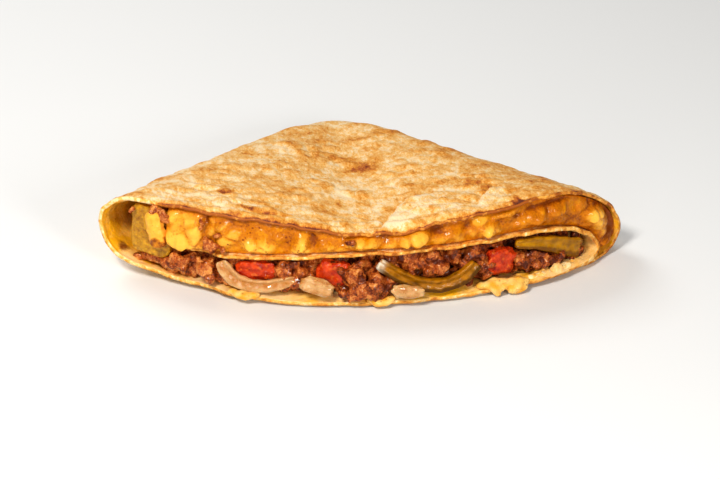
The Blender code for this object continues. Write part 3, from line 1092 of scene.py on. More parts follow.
@dataclass(eq=False)
class Tortilla:
    """The folded sheet, with its blisters, ripples, creases and browned lips."""

    steps: tuple[int, ...] = (48, 22, 60, 28, 76, 30, 36)
    rows: int = 48
    crowding: float = 0.6
    tip_row: float = 0.02
    fine_front: float = 0.86
    blister: float = 7.5 * MM
    blister_height: float = 1.1 * MM
    patch: float = 19 * MM
    ripple: float = 0.9 * MM
    ripple_size: Pair = (17, 4.6)  # in millimetres
    swell: float = 0.6 * MM
    swell_size: float = 24 * MM
    crumbly: float = 0.34 * MM
    crumbly_size: float = 3.6 * MM
    mottle_size: float = 13 * MM
    lip_wave: float = 0.7 * MM
    seam: float = 6 * MM
    seam_rounds: int = 8
    # How brown a lip is at least, how much more in patches, and how uneven these are
    lips: ClassVar[dict[Stretch, Triple]] = {
        Stretch.LEFT_TURN: (0.02, 0.1, 0.0),
        Stretch.MIDDLE: (0.28, 0.4, 0.5),
        Stretch.BOTTOM: (0.12, 0.5, 0.6),
    }
    # How much thinner the lip is, where this starts and over how much it eases
    thinned: ClassVar[dict[Stretch, Triple]] = {
        Stretch.TOP: (0.4, 0.965, 0.035),
        Stretch.OUTER_TURN: (0.4, 0.965, 0.035),
        Stretch.MIDDLE: (0.4, 0.96, 0.04),
    }
    # How soaked with fat the inner face is
    soaked: ClassVar[dict[Stretch, float]] = {
        Stretch.LEFT_TURN: 0.95,
        Stretch.OUTER_TURN: 0.9,
        Stretch.TOP: 0.9,
        Stretch.BOTTOM: 0.6,
    }
    creases: tuple[Crease, ...] = (
        Crease(
            (
                (0.7, 0.985),
                (4.2, 0.936),
                (8.1, 0.891),
                (13, 0.838),
                (18, 0.812),
                (32.5, 0.802),
                (45, 0.79),
            ),
            height=2.2,
            fall=9,
            dip=1.6,
        ),
        Crease(((43.7, 0.945), (50.2, 0.897), (57.8, 0.862), (73.3, 0.85)), height=1.7, fall=7, dip=1.2),
        Crease(
            ((-9, 0.875), (-2.3, 0.9), (2.5, 0.93), (6.5, 0.965)), height=1.0, fall=4, dip=0.8, dip_width=3
        ),
    )
    scorches: tuple[Scorch, ...] = tuple(
        Scorch(*row)
        for row in (
            (-99, 0.825, 4, 3, 0.5), (-88, 0.424, 7, 1.6, 0.55), (-70.5, 0.831, 4, 2, 0.55),
            (-96.5, 0.75, 4, 2.5, 0.35), (-62, 0.645, 4, 4, 0.35), (-49.6, 0.65, 3, 3.5, 0.35),
            (-45.8, 0.167, 5, 3, 0.4), (25, 0.235, 5, 3, 0.5), (-4, 0.402, 6, 5, 0.35),
            (6, 0.475, 7, 6, 0.5), (9, 0.508, 4, 3, 0.4), (43.6, 0.727, 6, 4, 0.35),
            (51.8, 0.789, 5, 3, 0.35), (79.7, 0.729, 5, 2, 0.6), (62.7, 0.985, 5, 4, 0.7),
            (-53.7, 0.935, 4, 1.8, 0.6), (-46, 0.956, 4, 2, 0.55), (-19.6, 0.861, 7, 2.5, 0.3),
        )
    )
    fold_scorch: Scorch = Scorch(-111.6, 0.965, 3.2, 3.2, 0.8)

    def build(self, materials: Sequence[Material]) -> Object:
        """Builds the sheet.

        Args:
            materials: the outer face's, the inner face's and the rim's.

        Returns:
            The finished piece.
        """
        bm = self._flat_grid()
        places = self._fold(bm)
        self._relief(bm, places)
        sheet = object_of("tortilla_sheet", bm, materials)
        weights = sheet.vertex_groups.new(name="body")
        for index, (stretch, _, along) in enumerate(places):
            weights.add([index], self._thickness(stretch, along), "REPLACE")
        skin = sheet.modifiers.new("Thickness", "SOLIDIFY")
        skin.thickness = SHEET.thickness
        skin.offset = 0.0
        skin.vertex_group = "body"
        skin.material_offset = 1
        skin.material_offset_rim = 2
        applied(sheet)
        self._close_tip(sheet, materials[0])
        return add_piece(sheet, "tortilla", "tortilla")

    def _flat_grid(self) -> BMesh:
        """The sheet as a flat grid: X counts the stretches, Y is the place along.

        Returns:
            The grid.
        """
        xs = [k + step / steps for k, steps in enumerate(self.steps) for step in range(steps)]
        xs.append(float(len(self.steps)))
        bm = bmesh.new()
        bmesh.ops.create_grid(bm, x_segments=len(xs) - 1, y_segments=self.rows, size=0.5)
        bm.verts.ensure_lookup_table()
        for index, vert in enumerate(bm.verts):
            row, column = divmod(index, len(xs))
            t = row / self.rows
            along = self.tip_row + (1.0 - self.tip_row) * t * (1.0 + self.crowding * (1.0 - t))
            vert.co = Vector((xs[column], along, 0.0))
        inner = Stretch.BOTTOM.value - 0.001
        hidden = [v for v in bm.verts if v.co.x < inner and v.co.y < SHEET.inner_start]
        bmesh.ops.delete(bm, geom=hidden, context="VERTS")
        fine = [edge for edge in bm.edges if all(self._is_fine(vert.co) for vert in edge.verts)]
        bmesh.ops.subdivide_edges(bm, edges=fine, cuts=1, use_grid_fill=True)
        return bm

    def _is_fine(self, place: Vector) -> bool:
        """Whether the grid is fine there: on what shows from above, and along the mouth."""
        return Stretch.LEFT_TURN.value <= place.x <= Stretch.FLAP.value or place.y > self.fine_front

    def _fold(self, bm: BMesh) -> list[tuple[Stretch, float, float]]:
        """Bends the grid along the fold.

        Args:
            bm: the flat grid.

        Returns:
            Each point's stretch, and its place across and along.
        """
        places = []
        for vert in bm.verts:
            index = min(int(vert.co.x + 1e-6), len(self.steps) - 1)
            stretch, along = Stretch(index), vert.co.y
            across, height = SHEET.curve(stretch, along, vert.co.x - index)
            reach = SHEET.reach(stretch, across, height) + self._ragged(stretch, across, along)
            vert.co = SHEET.plan(across, along, height, reach)
            places.append((stretch, across, along))
        bm.normal_update()
        top = next(v for v, p in zip(bm.verts, places) if p[0] is Stretch.TOP and p[2] > 0.5)
        if top.normal.z < 0:
            bmesh.ops.reverse_faces(bm, faces=bm.faces)
            bm.normal_update()
        return places

    def _ragged(self, stretch: Stretch, across: float, along: float) -> float:
        """How far the torn front edge goes in and out.

        Args:
            stretch: the stretch.
            across: place across.
            along: place along.

        Returns:
            The distance that it stands out.
        """
        near = smooth((along - 0.88) / 0.12)
        row = stretch.value * 7.0
        torn = noise_along(across, 9, row, 0.0) + 0.2 * noise_along(across, 2.6, row, 5.0) - 0.3
        even = stretch in (Stretch.BOTTOM, Stretch.LEFT_TURN, Stretch.FLAP)
        hidden = 0.0
        if stretch is Stretch.MIDDLE:
            hidden = 3.0 * MM * smooth((-64 * MM - across) / (7 * MM))
        return near * ((0.7 * MM if even else 0.9 * MM) * torn - hidden)

    def _relief(self, bm: BMesh, places: Sequence[tuple[Stretch, float, float]]) -> None:
        """Raises blisters, ripples and creases, and paints toast and fat where they fall, with painted
        shade and light along the creases.

        Args:
            bm: the folded grid.
            places: each point's stretch, and its place across and along.
        """
        toast = bm.verts.layers.float.new("toast")
        fat = bm.verts.layers.float.new("fat")
        normals = [vert.normal.copy() for vert in bm.verts]
        for vert, normal, (stretch, across, along) in zip(bm.verts, normals, places):
            lift, brown = self._surface(stretch, across, along, vert.co)
            vert[toast] = brown
            vert[fat] = self._fat(stretch, across, along, vert.co.z)
            vert.co += normal * lift
            vert.co.z += self._lip(stretch, across, along)

    def _surface(self, stretch: Stretch, across: float, along: float, at: Vector) -> Pair:
        """Relief and toast at a place.

        Args:
            stretch: the stretch.
            across: place across.
            along: place along.
            at: the point.

        Returns:
            How far the sheet is raised, and how brown it is, with painted shade and light along the
            creases.
        """
        front = smooth((along - 0.7) / 0.3)
        broad = noise.noise(at / self.swell_size + Vector((3.0, 0.0, 0.0)))
        nearest = noise.voronoi(at / self.blister + Vector((5.0, 2.0, 9.0)))[0][0]
        dome = max(0.0, 1.0 - (nearest / 0.62) ** 2)
        patch = smooth(0.5 + 1.6 * noise.noise(at / self.patch + Vector((0.0, 8.0, 0.0))))
        warp = noise_at(at, 11) * 3.5 * MM
        long, short = self.ripple_size
        ring = (along * SHEET.disc + warp) / (short * MM)
        ripple = noise_along(across * SHEET.width_scale(along), long, ring, 4.0)
        fine = noise.fractal(at / self.crumbly_size, 0.8, 2.0, 3)
        lift = self.swell * broad + self.blister_height * dome * patch
        lift += self.ripple * ripple * (0.2 + 0.9 * front) + self.crumbly * fine
        lift = self._strength(stretch, along, at.z) * (lift - 0.45 * MM)
        if stretch is Stretch.TOP:
            crease = sum(crease.lift(across, along) for crease in self.creases)
            lift += crease - 0.7 * MM * smooth(crease / (2.0 * MM))
            # Painted shade: the dip behind each crease is darkened
            dark = smooth(-crease / (1.2 * MM))
        if stretch is Stretch.BOTTOM:
            lift -= self._crumple(across, along, at)
        mottle = noise.fractal(at / self.mottle_size + Vector((7.0, 7.0, 0.0)), 0.9, 2.0, 4)
        brown = 0.20 + 0.14 * mottle + 0.18 * dome * patch - 0.10 * ripple + 0.08 * fine
        # Darker towards the right and towards the tip
        brown += 0.12 * smooth((across - 40 * MM) / (30 * MM)) + 0.05 * smooth((0.6 - along) / 0.4)
        brown += self._lip_toast(stretch, across, along)
        if stretch is Stretch.TOP:
            # Scorches are real browning; the crease dips get their painted shade here
            brown += sum(scorch.toast(across, along) for scorch in self.scorches) + 0.22 * dark
            # Painted light: the crease ledges are made paler
            brown -= 0.12 * smooth(crease / (1.2 * MM))
            # Paler at the front on the left
            brown -= 0.10 * smooth((-40 * MM - across) / (40 * MM)) * front
        if stretch is Stretch.LEFT_TURN:
            brown += self.fold_scorch.toast(across, along)
        return lift, brown

    @staticmethod
    def _strength(stretch: Stretch, along: float, height: float) -> float:
        """How strong the relief is: full on top, fading down the turns, faint at the mouth.

        Args:
            stretch: the stretch.
            along: place along.
            height: height.

        Returns:
            The strength, from 0 to 1.
        """
        faint = 0.3 * smooth((along - 0.9) / 0.1)
        if stretch is Stretch.TOP:
            return 1.0
        if stretch in (Stretch.OUTER_TURN, Stretch.LEFT_TURN):
            return 0.75 * smooth((height - 1.5 * MM) / (4 * MM))
        if stretch is Stretch.INNER_TURN:
            return faint * 2.5
        return 0.0 if stretch is Stretch.FLAP else faint

    @staticmethod
    def _crumple(across: float, along: float, at: Vector) -> float:
        """How high the bottom sheet's upper face stands in flakes near its lip.

        Args:
            across: place across.
            along: place along.
            at: the point.

        Returns:
            The height.
        """
        near = smooth((along - 0.93) / 0.03) * smooth((1.0 - along) / 0.012)
        flakes = abs(noise_at(at, 3.4)) + 0.5 * abs(noise_at(at, 1.7))
        right = bell((across - 78 * MM) / (12 * MM))
        return near * (0.6 + 4.0 * right) * MM * flakes

    def _lip_toast(self, stretch: Stretch, across: float, along: float) -> float:
        """How brown the lip of a stretch is.

        Args:
            stretch: the stretch.
            across: place across.
            along: place along.

        Returns:
            The brown that the lip adds.
        """
        row = stretch.value * 3.0
        broad = noise_along(across, 9, 1.0, row)
        fine = noise_along(across, 2.5, 4.0, row)
        away = (1.0 - along) * SHEET.disc
        edge = smooth(1.0 - away / (max(0.5, 1.5 + 1.4 * broad + 0.9 * fine) * MM))
        if stretch in (Stretch.TOP, Stretch.OUTER_TURN):
            ease = 12 * MM
            left = window(across, -96 * MM, -12 * MM, ease)
            right = window(across, 36 * MM, 72 * MM, ease)
            more = max(left, right) - 0.9 * smooth((across - 60 * MM) / ease)
            soft = smooth(1.0 - away / ((4.4 + 2.4 * more + 2.5 * broad) * MM))
            dark = 0.34 + 0.16 * more + 0.35 * broad + 0.25 * fine
            return edge * dark + soft * (0.22 + 0.12 * more)
        least, patchy, uneven = self.lips.get(stretch, (0.05, 0.3, 0.5))
        return edge * (least + patchy * max(0.0, broad + uneven * fine))

    def _fat(self, stretch: Stretch, across: float, along: float, height: float) -> float:
        """How soaked the inner face is.

        Args:
            stretch: the stretch.
            across: place across.
            along: place along.
            height: height.

        Returns:
            The share of fat, which may pass 0 and 1.
        """
        uneven = noise_along(across, 11, along * 16.0, stretch.value)
        if stretch is Stretch.LEFT_TURN:
            uneven -= 2.6 * bell((across + 108 * MM) / (3.5 * MM)) * smooth((along - 0.93) / 0.05)
        if stretch is Stretch.BOTTOM:
            right = smooth(across / (30 * MM))
            dry = bell((across - 78 * MM) / (12 * MM))
            uneven = 2.6 * uneven - 0.5 + 0.9 * right - 2.4 * dry
        if stretch in (Stretch.BOTTOM, Stretch.LEFT_TURN):
            low = 1.0 - smooth((height - 6 * MM) / (5 * MM))
            left = smooth((-30 * MM - across) / (15 * MM))
            uneven -= 2.4 * smooth((along - 0.972) / 0.012) * low * left
        return self.soaked.get(stretch, 0.35) + 0.25 * uneven

    def _lip(self, stretch: Stretch, across: float, along: float) -> float:
        """How the free edge waves up and down.

        Args:
            stretch: the stretch.
            across: place across.
            along: place along.

        Returns:
            How far the edge is raised.
        """
        near = smooth((along - 0.9) / 0.1)
        row = stretch.value * 5.0
        broad = noise_along(across, 12, 2.0, row)
        small = noise_along(across, 4, 9.0, row)
        if stretch is Stretch.TOP:
            ends = window(across, -92 * MM, 62 * MM, 20 * MM)
            roll = smooth((along - 0.972) / 0.028)
            return near * ends * self.lip_wave * (0.8 * broad + 0.5 * small) - 0.7 * MM * ends * roll * roll
        if stretch is Stretch.BOTTOM:
            edge = smooth((along - 0.965) / 0.035)
            shown = window(across, -60 * MM, 60 * MM, 25 * MM)
            return -1.5 * MM * edge * shown + near * 0.35 * MM * small
        if stretch is Stretch.MIDDLE:
            return near * 0.5 * MM * (broad + 0.5 * small)
        return 0.0

    def _thickness(self, stretch: Stretch, along: float) -> float:
        """The sheet's thickness at a place, as a share of its full one."""
        less, start, ease = self.thinned.get(stretch, (0.2, 0.97, 0.03))
        return 1.0 - less * smooth((along - start) / ease)

    def _close_tip(self, sheet: Object, material: Material) -> None:
        """Closes the tip, where the layers press into one, with a flattened ball.

        Args:
            sheet: the sheet.
            material: the outer face's material.
        """
        half = SHEET.nose_height / 2
        side = SHEET.nose + SHEET.nose_spread
        centre = Vector((0.0, SHEET.centre_line - SHEET.nose_back, half))
        bm = bmesh.new()
        bmesh.ops.create_uvsphere(bm, u_segments=64, v_segments=24, radius=1.0)
        for vert in bm.verts:
            reach = math.hypot(vert.co.x, vert.co.y)
            way = vert.co / (reach**3 + abs(vert.co.z) ** 3) ** (1.0 / 3.0)
            vert.co = centre + Vector((way.x * side, way.y * side, way.z * half))
        everything = bm.verts[:] + bm.edges[:] + bm.faces[:]
        back = centre - Vector((0.0, SHEET.nose_depth, 0.0))
        cut = bmesh.ops.bisect_plane(
            bm, geom=everything, plane_co=back, plane_no=Vector((0.0, 1.0, 0.0)), clear_inner=True
        )
        rim = [item for item in cut["geom_cut"] if isinstance(item, BMEdge)]
        bmesh.ops.holes_fill(bm, edges=rim)
        bmesh.ops.recalc_face_normals(bm, faces=bm.faces)
        paint(bm, toast=lambda at: 0.2 + 0.15 * noise_at(at, 9), fat=lambda at: 0.0)
        ball = object_of("tip", bm, [material])
        join = sheet.modifiers.new("Tip", "BOOLEAN")
        join.operation = "UNION"
        join.object = ball
        join.solver = "MANIFOLD"
        applied(sheet)
        bpy.data.objects.remove(ball, do_unlink=True)
        with editing(sheet) as bm:
            near = [vert for vert in bm.verts if vert.co.y > centre.y - self.seam]
            relax(bm, near, self.seam_rounds)


# --- The cheese ---


@dataclass(frozen=True)
class Blob:
    """A swelling or a hollow in the cheese's front: place, size, how far it stands out, and looks, whose
    cream and stain also hold painted light and shade.
    """

    across: float
    height: float
    wide: float
    tall: float
    out: float
    cream: float = 0.0
    stain: float = 0.0

    def share(self, across: float, height: float) -> float:
        """How much of the blob there is at a place, given in metres.

        Args:
            across: place across.
            height: height.

        Returns:
            The share, from 0 to 1.
        """
        x = (across - self.across * MM) / (self.wide * MM)
        y = (height - self.height * MM) / (self.tall * MM)
        return bell(math.hypot(x, y)) if abs(x) < 2.5 and abs(y) < 2.5 else 0.0


# Swellings and hollows, in millimetres; their cream and stain are partly the cheese's own colour, partly
# painted light on swellings and painted shade in hollows, under the top lip and in the right pocket
CHEESE_BLOBS: tuple[Blob, ...] = tuple(
    Blob(*row)
    for row in (
        (-83, 33, 5.5, 5, 1.2, 0.25), (-84, 24, 4.5, 5, 2.4, 0.6),
        (-73.5, 21.5, 8.5, 3.6, 4.0, 0.8), (-75, 30, 4, 5, 2.2, 0.35),
        (-70.5, 33, 1.6, 5, -2.4, 0.0, 0.9), (-67.5, 25, 3.2, 3, 0.6, 0.0, 0.7),
        (-63.5, 30.5, 3, 3.4, 1.8, 0.4), (-59, 30, 4, 3.6, 1.6, 0.1, 0.1),
        (-57, 35, 9, 1.8, 0.0, -0.2, 0.55), (-51.5, 25, 2.6, 2.6, 2.4, 0.9),
        (-48.5, 31, 3, 4, -1.0, -0.3, 0.35), (-45, 25, 2.4, 3.4, 2.2, 0.85),
        (-42, 31, 5, 3, 1.0, -0.3, 0.25), (-37, 28, 2.4, 5, -1.6, -0.2, 0.5),
        (-31.8, 26.6, 3.6, 3.4, 3.0, 0.85), (-27, 29.5, 2.2, 3.4, -2.0, 0.0, 1.0),
        (-21.7, 26.6, 3.4, 2.6, 2.2, 0.4, 0.05), (-14, 27.4, 5, 1.8, 1.5, 0.25, 0.0),
        (-6.5, 28.2, 5, 1.8, 2.4, 0.5), (-0.5, 29.5, 1.8, 2.5, -1.2, 0.0, 0.5),
        (3.5, 29.5, 2.0, 2.5, -1.6, 0.0, 0.7), (13.5, 29.5, 6.5, 3.2, 3.6, 0.55),
        (23.6, 32.5, 3.4, 3.0, -1.6, 0.0, 0.9), (29.2, 29.6, 4.0, 2.6, 2.4, 0.4),
        (36, 32, 2.2, 3, -1.8, 0.0, 0.7), (44.6, 29.5, 5.0, 3.4, 3.4, 0.8),
        (50.5, 31, 1.8, 2.5, -1.6, 0.0, 0.6), (53, 34.8, 4.5, 2, 2.2, 0.6),
        (57.7, 33.0, 3.2, 1.3, -1.8, 0.0, 0.9), (55, 30.5, 4, 1.5, -1.2, 0.1, 0.4),
        (62, 28.6, 5, 1.8, 1.4, 0.15, 0.0), (68, 30.2, 4.2, 2.6, 2.8, 0.3, -0.1),
        (72.8, 31.5, 1.6, 2.4, -1.4, 0.0, 0.5), (77.5, 30.4, 4.0, 2.8, 2.6, 0.3, -0.1),
        (73.5, 34.4, 9, 1.0, -1.6, 0.0, 1.0), (74, 26.2, 9, 1.6, 0.4, 0.1, 0.1),
        (83.5, 24.4, 3.5, 1.8, -0.6, 0.0, 0.5), (87, 29.5, 4.0, 4.0, -1.6, 0.1, -0.4),
        (98.5, 21.8, 4.6, 5, 2.6, 1.0, -0.4), (103.4, 15.5, 3.2, 4.5, 1.4, 0.6, -0.3),
        (101, 28, 5, 3.4, -1.0, -0.2, 0.7), (110, 15, 4.2, 8, -1.4, -0.3, 1.0),
    )
)


@dataclass(eq=False)
class CheeseLayer:
    """The melted layer between the middle and top panels, which runs on round the inner fold."""

    left: float = -87 * MM
    start: float = 0.3
    front: float = 0.985
    turn: float = 0.78
    belly: float = 0.012
    slab_end: float = -61 * MM
    sag: float = 3.6 * MM
    cell: float = 6.5 * MM
    columns: int = 380
    rows: int = 10
    layers: int = 36

    def build(self, material: Material) -> Object:
        """Builds the layer, with its bulging front.

        Args:
            material: the piece's material.

        Returns:
            The finished piece.
        """
        bm = block(self.columns, self.rows, self.layers, self._place)
        layers = [bm.verts.layers.float.new(name) for name in ("cream", "stain", "specks")]
        for vert in bm.verts:
            for layer, value in zip(layers, self._looks(*self._where(vert.co))):
                vert[layer] = value
        return add_piece(object_of("cheese_melted", bm, [material]), "cheese", "cheese_layer")

    @lru_cache(maxsize=64)
    def _lines(self, along: float) -> tuple[np.ndarray, np.ndarray]:
        """The layer's lower and upper line at a place along.

        Args:
            along: place along.

        Returns:
            Both lines, as rows of (across, height).
        """
        gap = SHEET.thickness / 2 + SHEET.gap / 2
        low_run = self._open_run(Stretch.MIDDLE, along, gap)
        high_run = self._open_run(Stretch.TOP, along, -gap)
        turns = np.linspace(0.0, self.turn, 25)[1:]
        low = np.vstack((low_run, SHEET.beside(Stretch.INNER_TURN, along, turns, gap)))
        high = np.vstack((high_run, SHEET.beside(Stretch.OUTER_TURN, along, turns, -gap)))
        return low, high

    def _open_run(self, stretch: Stretch, along: float, lift: float) -> np.ndarray:
        """A line over or under a flat stretch, from the layer's left end to the turn.

        Args:
            stretch: the stretch.
            along: place along.
            lift: distance above the sheet's middle surface.

        Returns:
            The line, as rows of (across, height).
        """
        end = RUNS[stretch][1]
        stops = np.linspace(self.left, end, 57)
        return np.array([(x, SHEET.level(stretch, x, along) + lift) for x in stops])

    def _place(self, u: float, v: float, w: float) -> Vector:
        """A corner of the layer.

        Args:
            u: share of the way along X.
            v: share of the way along Y.
            w: share of the way along Z.

        Returns:
            The point.
        """
        along = round(self.start + (self.front - self.start) * v, 6)
        low, high = self._lines(along)
        index = u * (len(low) - 1)
        across, height = (
            (1.0 - w) * np.interp(index, range(len(low)), low[:, k])
            + w * np.interp(index, range(len(high)), high[:, k])
            for k in (0, 1)
        )
        front = smooth((v - 0.88) / 0.12)
        edge = 1.0 - (2 * w - 1) ** 6
        belly = self.belly * SHEET.disc * (1.0 - (2 * w - 1) ** 2)
        out = front * (belly + edge * self._relief(across, height)[0])
        past = max(0.0, along * SHEET.disc + out - SHEET.disc - 0.6 * MM)
        slab = smooth((self.slab_end - across) / (6 * MM))
        sag = min(past * (1.8 + 1.4 * slab), self.sag) * (1.0 - w) ** 2
        return SHEET.plan(across, along, height - sag) + self._outward(across) * out

    @staticmethod
    def _outward(across: float) -> Vector:
        """The way out of the wrap's mouth."""
        angle = across / SHEET.disc
        return Vector((math.sin(angle), -math.cos(angle), 0.0))

    def _relief(self, across: float, height: float) -> Pair:
        """The cheese's front at a place.

        Args:
            across: place across.
            height: height.

        Returns:
            How far it stands out, and how domed it is there, from -1 to 1.
        """
        at = Vector((across, 3.0 * MM * noise_at(Vector((across, height, 0)), 9), height))
        nearest, second = noise.voronoi(at / self.cell)[0][:2]
        dome = smooth((second - nearest) / 0.45) - 0.6
        broad = noise_at(at, 9)
        small = noise_at(at, 2.6)
        out = (0.9 * dome + 1.2 * broad + 0.4 * small) * MM
        out += sum(blob.out * MM * blob.share(across, height) for blob in CHEESE_BLOBS)
        return out, dome + 0.8 * broad

    @staticmethod
    def _where(at: Vector) -> Pair:
        """Place across and height of a point of the front."""
        return math.atan2(at.x, SHEET.centre_line - at.y) * SHEET.disc, at.z

    def _looks(self, across: float, height: float) -> Triple:
        """Looks of the cheese's front at a place.

        Args:
            across: place across.
            height: height.

        Returns:
            How creamy and how browned it is, with painted light and shade in both, and how many burnt
            specks it has.
        """
        shares = [(blob, blob.share(across, height)) for blob in CHEESE_BLOBS]
        _, dome = self._relief(across, height)
        lip = SHEET.top_level(across, 1.0) - SHEET.thickness / 2
        # Painted shade under the top lip, over some real browning there; inside the turn an even painted
        # shade
        under = smooth(1.0 - (lip - height) / (2.8 * MM)) if across < 62 * MM else 0.3
        # Painted shade that deepens towards the right
        right = smooth((across - 15 * MM) / (60 * MM))
        # Domes are painted creamier and hollows browner: partly the cheese's own browning, partly painted
        # light on the domes and painted shade in the hollows
        cream = 0.18 + 0.60 * dome - 0.6 * under - 0.26 * right
        # Creamier towards the left
        cream += 0.2 * smooth((-40 * MM - across) / (20 * MM))
        cream += sum(1.3 * blob.cream * share for blob, share in shares)
        # Painted shade in the pocket inside the inner fold
        inner = smooth((across - 84 * MM) / (10 * MM))
        stain = 0.12 - 0.42 * dome + 0.75 * under + 0.20 * right + 0.10 * inner
        stain += sum((blob.stain - 0.3 * max(0.0, blob.cream)) * share for blob, share in shares)
        specks = smooth((across + 68 * MM) / (6 * MM)) * smooth((-22 * MM - across) / (14 * MM))
        return cream, stain, specks


# --- The beef ---


@dataclass(frozen=True)
class Clump:
    """A clump of mince, in millimetres: centre (across, radius, height), half size, crumbs."""

    centre: Triple
    size: Triple
    count: int
    crumb: Pair = (1.0, 2.7)


CLUMPS: tuple[Clump, ...] = tuple(
    Clump(*row)
    for row in (
        ((-104, 151.5, 9.0), (2, 1.5, 1), 8, (0.7, 1.2)),
        ((-97, 152.0, 11.0), (4, 2, 2), 26, (0.8, 1.5)),
        ((-90, 152.6, 11), (4, 2.2, 2.2), 28, (0.8, 1.6)),
        ((-84, 153.8, 12), (4, 2.4, 2.6), 36, (0.9, 1.8)),
        ((-78, 151.5, 13.5), (4, 2, 2), 20, (0.8, 1.7)),
        ((-71, 154.5, 12.5), (4, 2.4, 3), 40, (0.9, 1.8)),
        ((-69, 155.5, 9.2), (2.4, 1.6, 2), 14, (0.8, 1.5)), ((-62, 151.0, 15), (4, 2, 2.4), 12),
        ((-38, 153, 15), (6, 3, 4), 30), ((-31, 154, 12), (4, 3, 3), 20),
        ((-11, 155, 14), (6, 4, 5), 46), ((-8, 157.5, 8), (5, 3, 4), 36),
        ((-12.5, 157.5, 6.5), (2.5, 1.6, 1.6), 14, (0.8, 1.6)), ((-1, 156, 9), (4, 3, 5), 30),
        ((5, 153, 12), (4, 2, 4), 16), ((14, 152.5, 18), (5, 2, 3), 18),
        ((22, 154, 16), (6, 3, 4), 34), ((31, 153, 17), (5, 3, 4), 26),
        ((41, 153, 18), (4, 2.5, 3), 18), ((45, 153.5, 13), (3, 2.5, 3), 12),
        ((62, 154, 12), (4, 3, 4), 22), ((69, 154.5, 9), (5, 3, 4), 26),
        ((78, 154, 7.5), (5, 3, 3), 20), ((90, 153.5, 6.5), (4, 2, 2.5), 18),
        ((92.5, 152.0, 10.5), (2.2, 2, 3.5), 20, (1.0, 2.0)),
    )
)


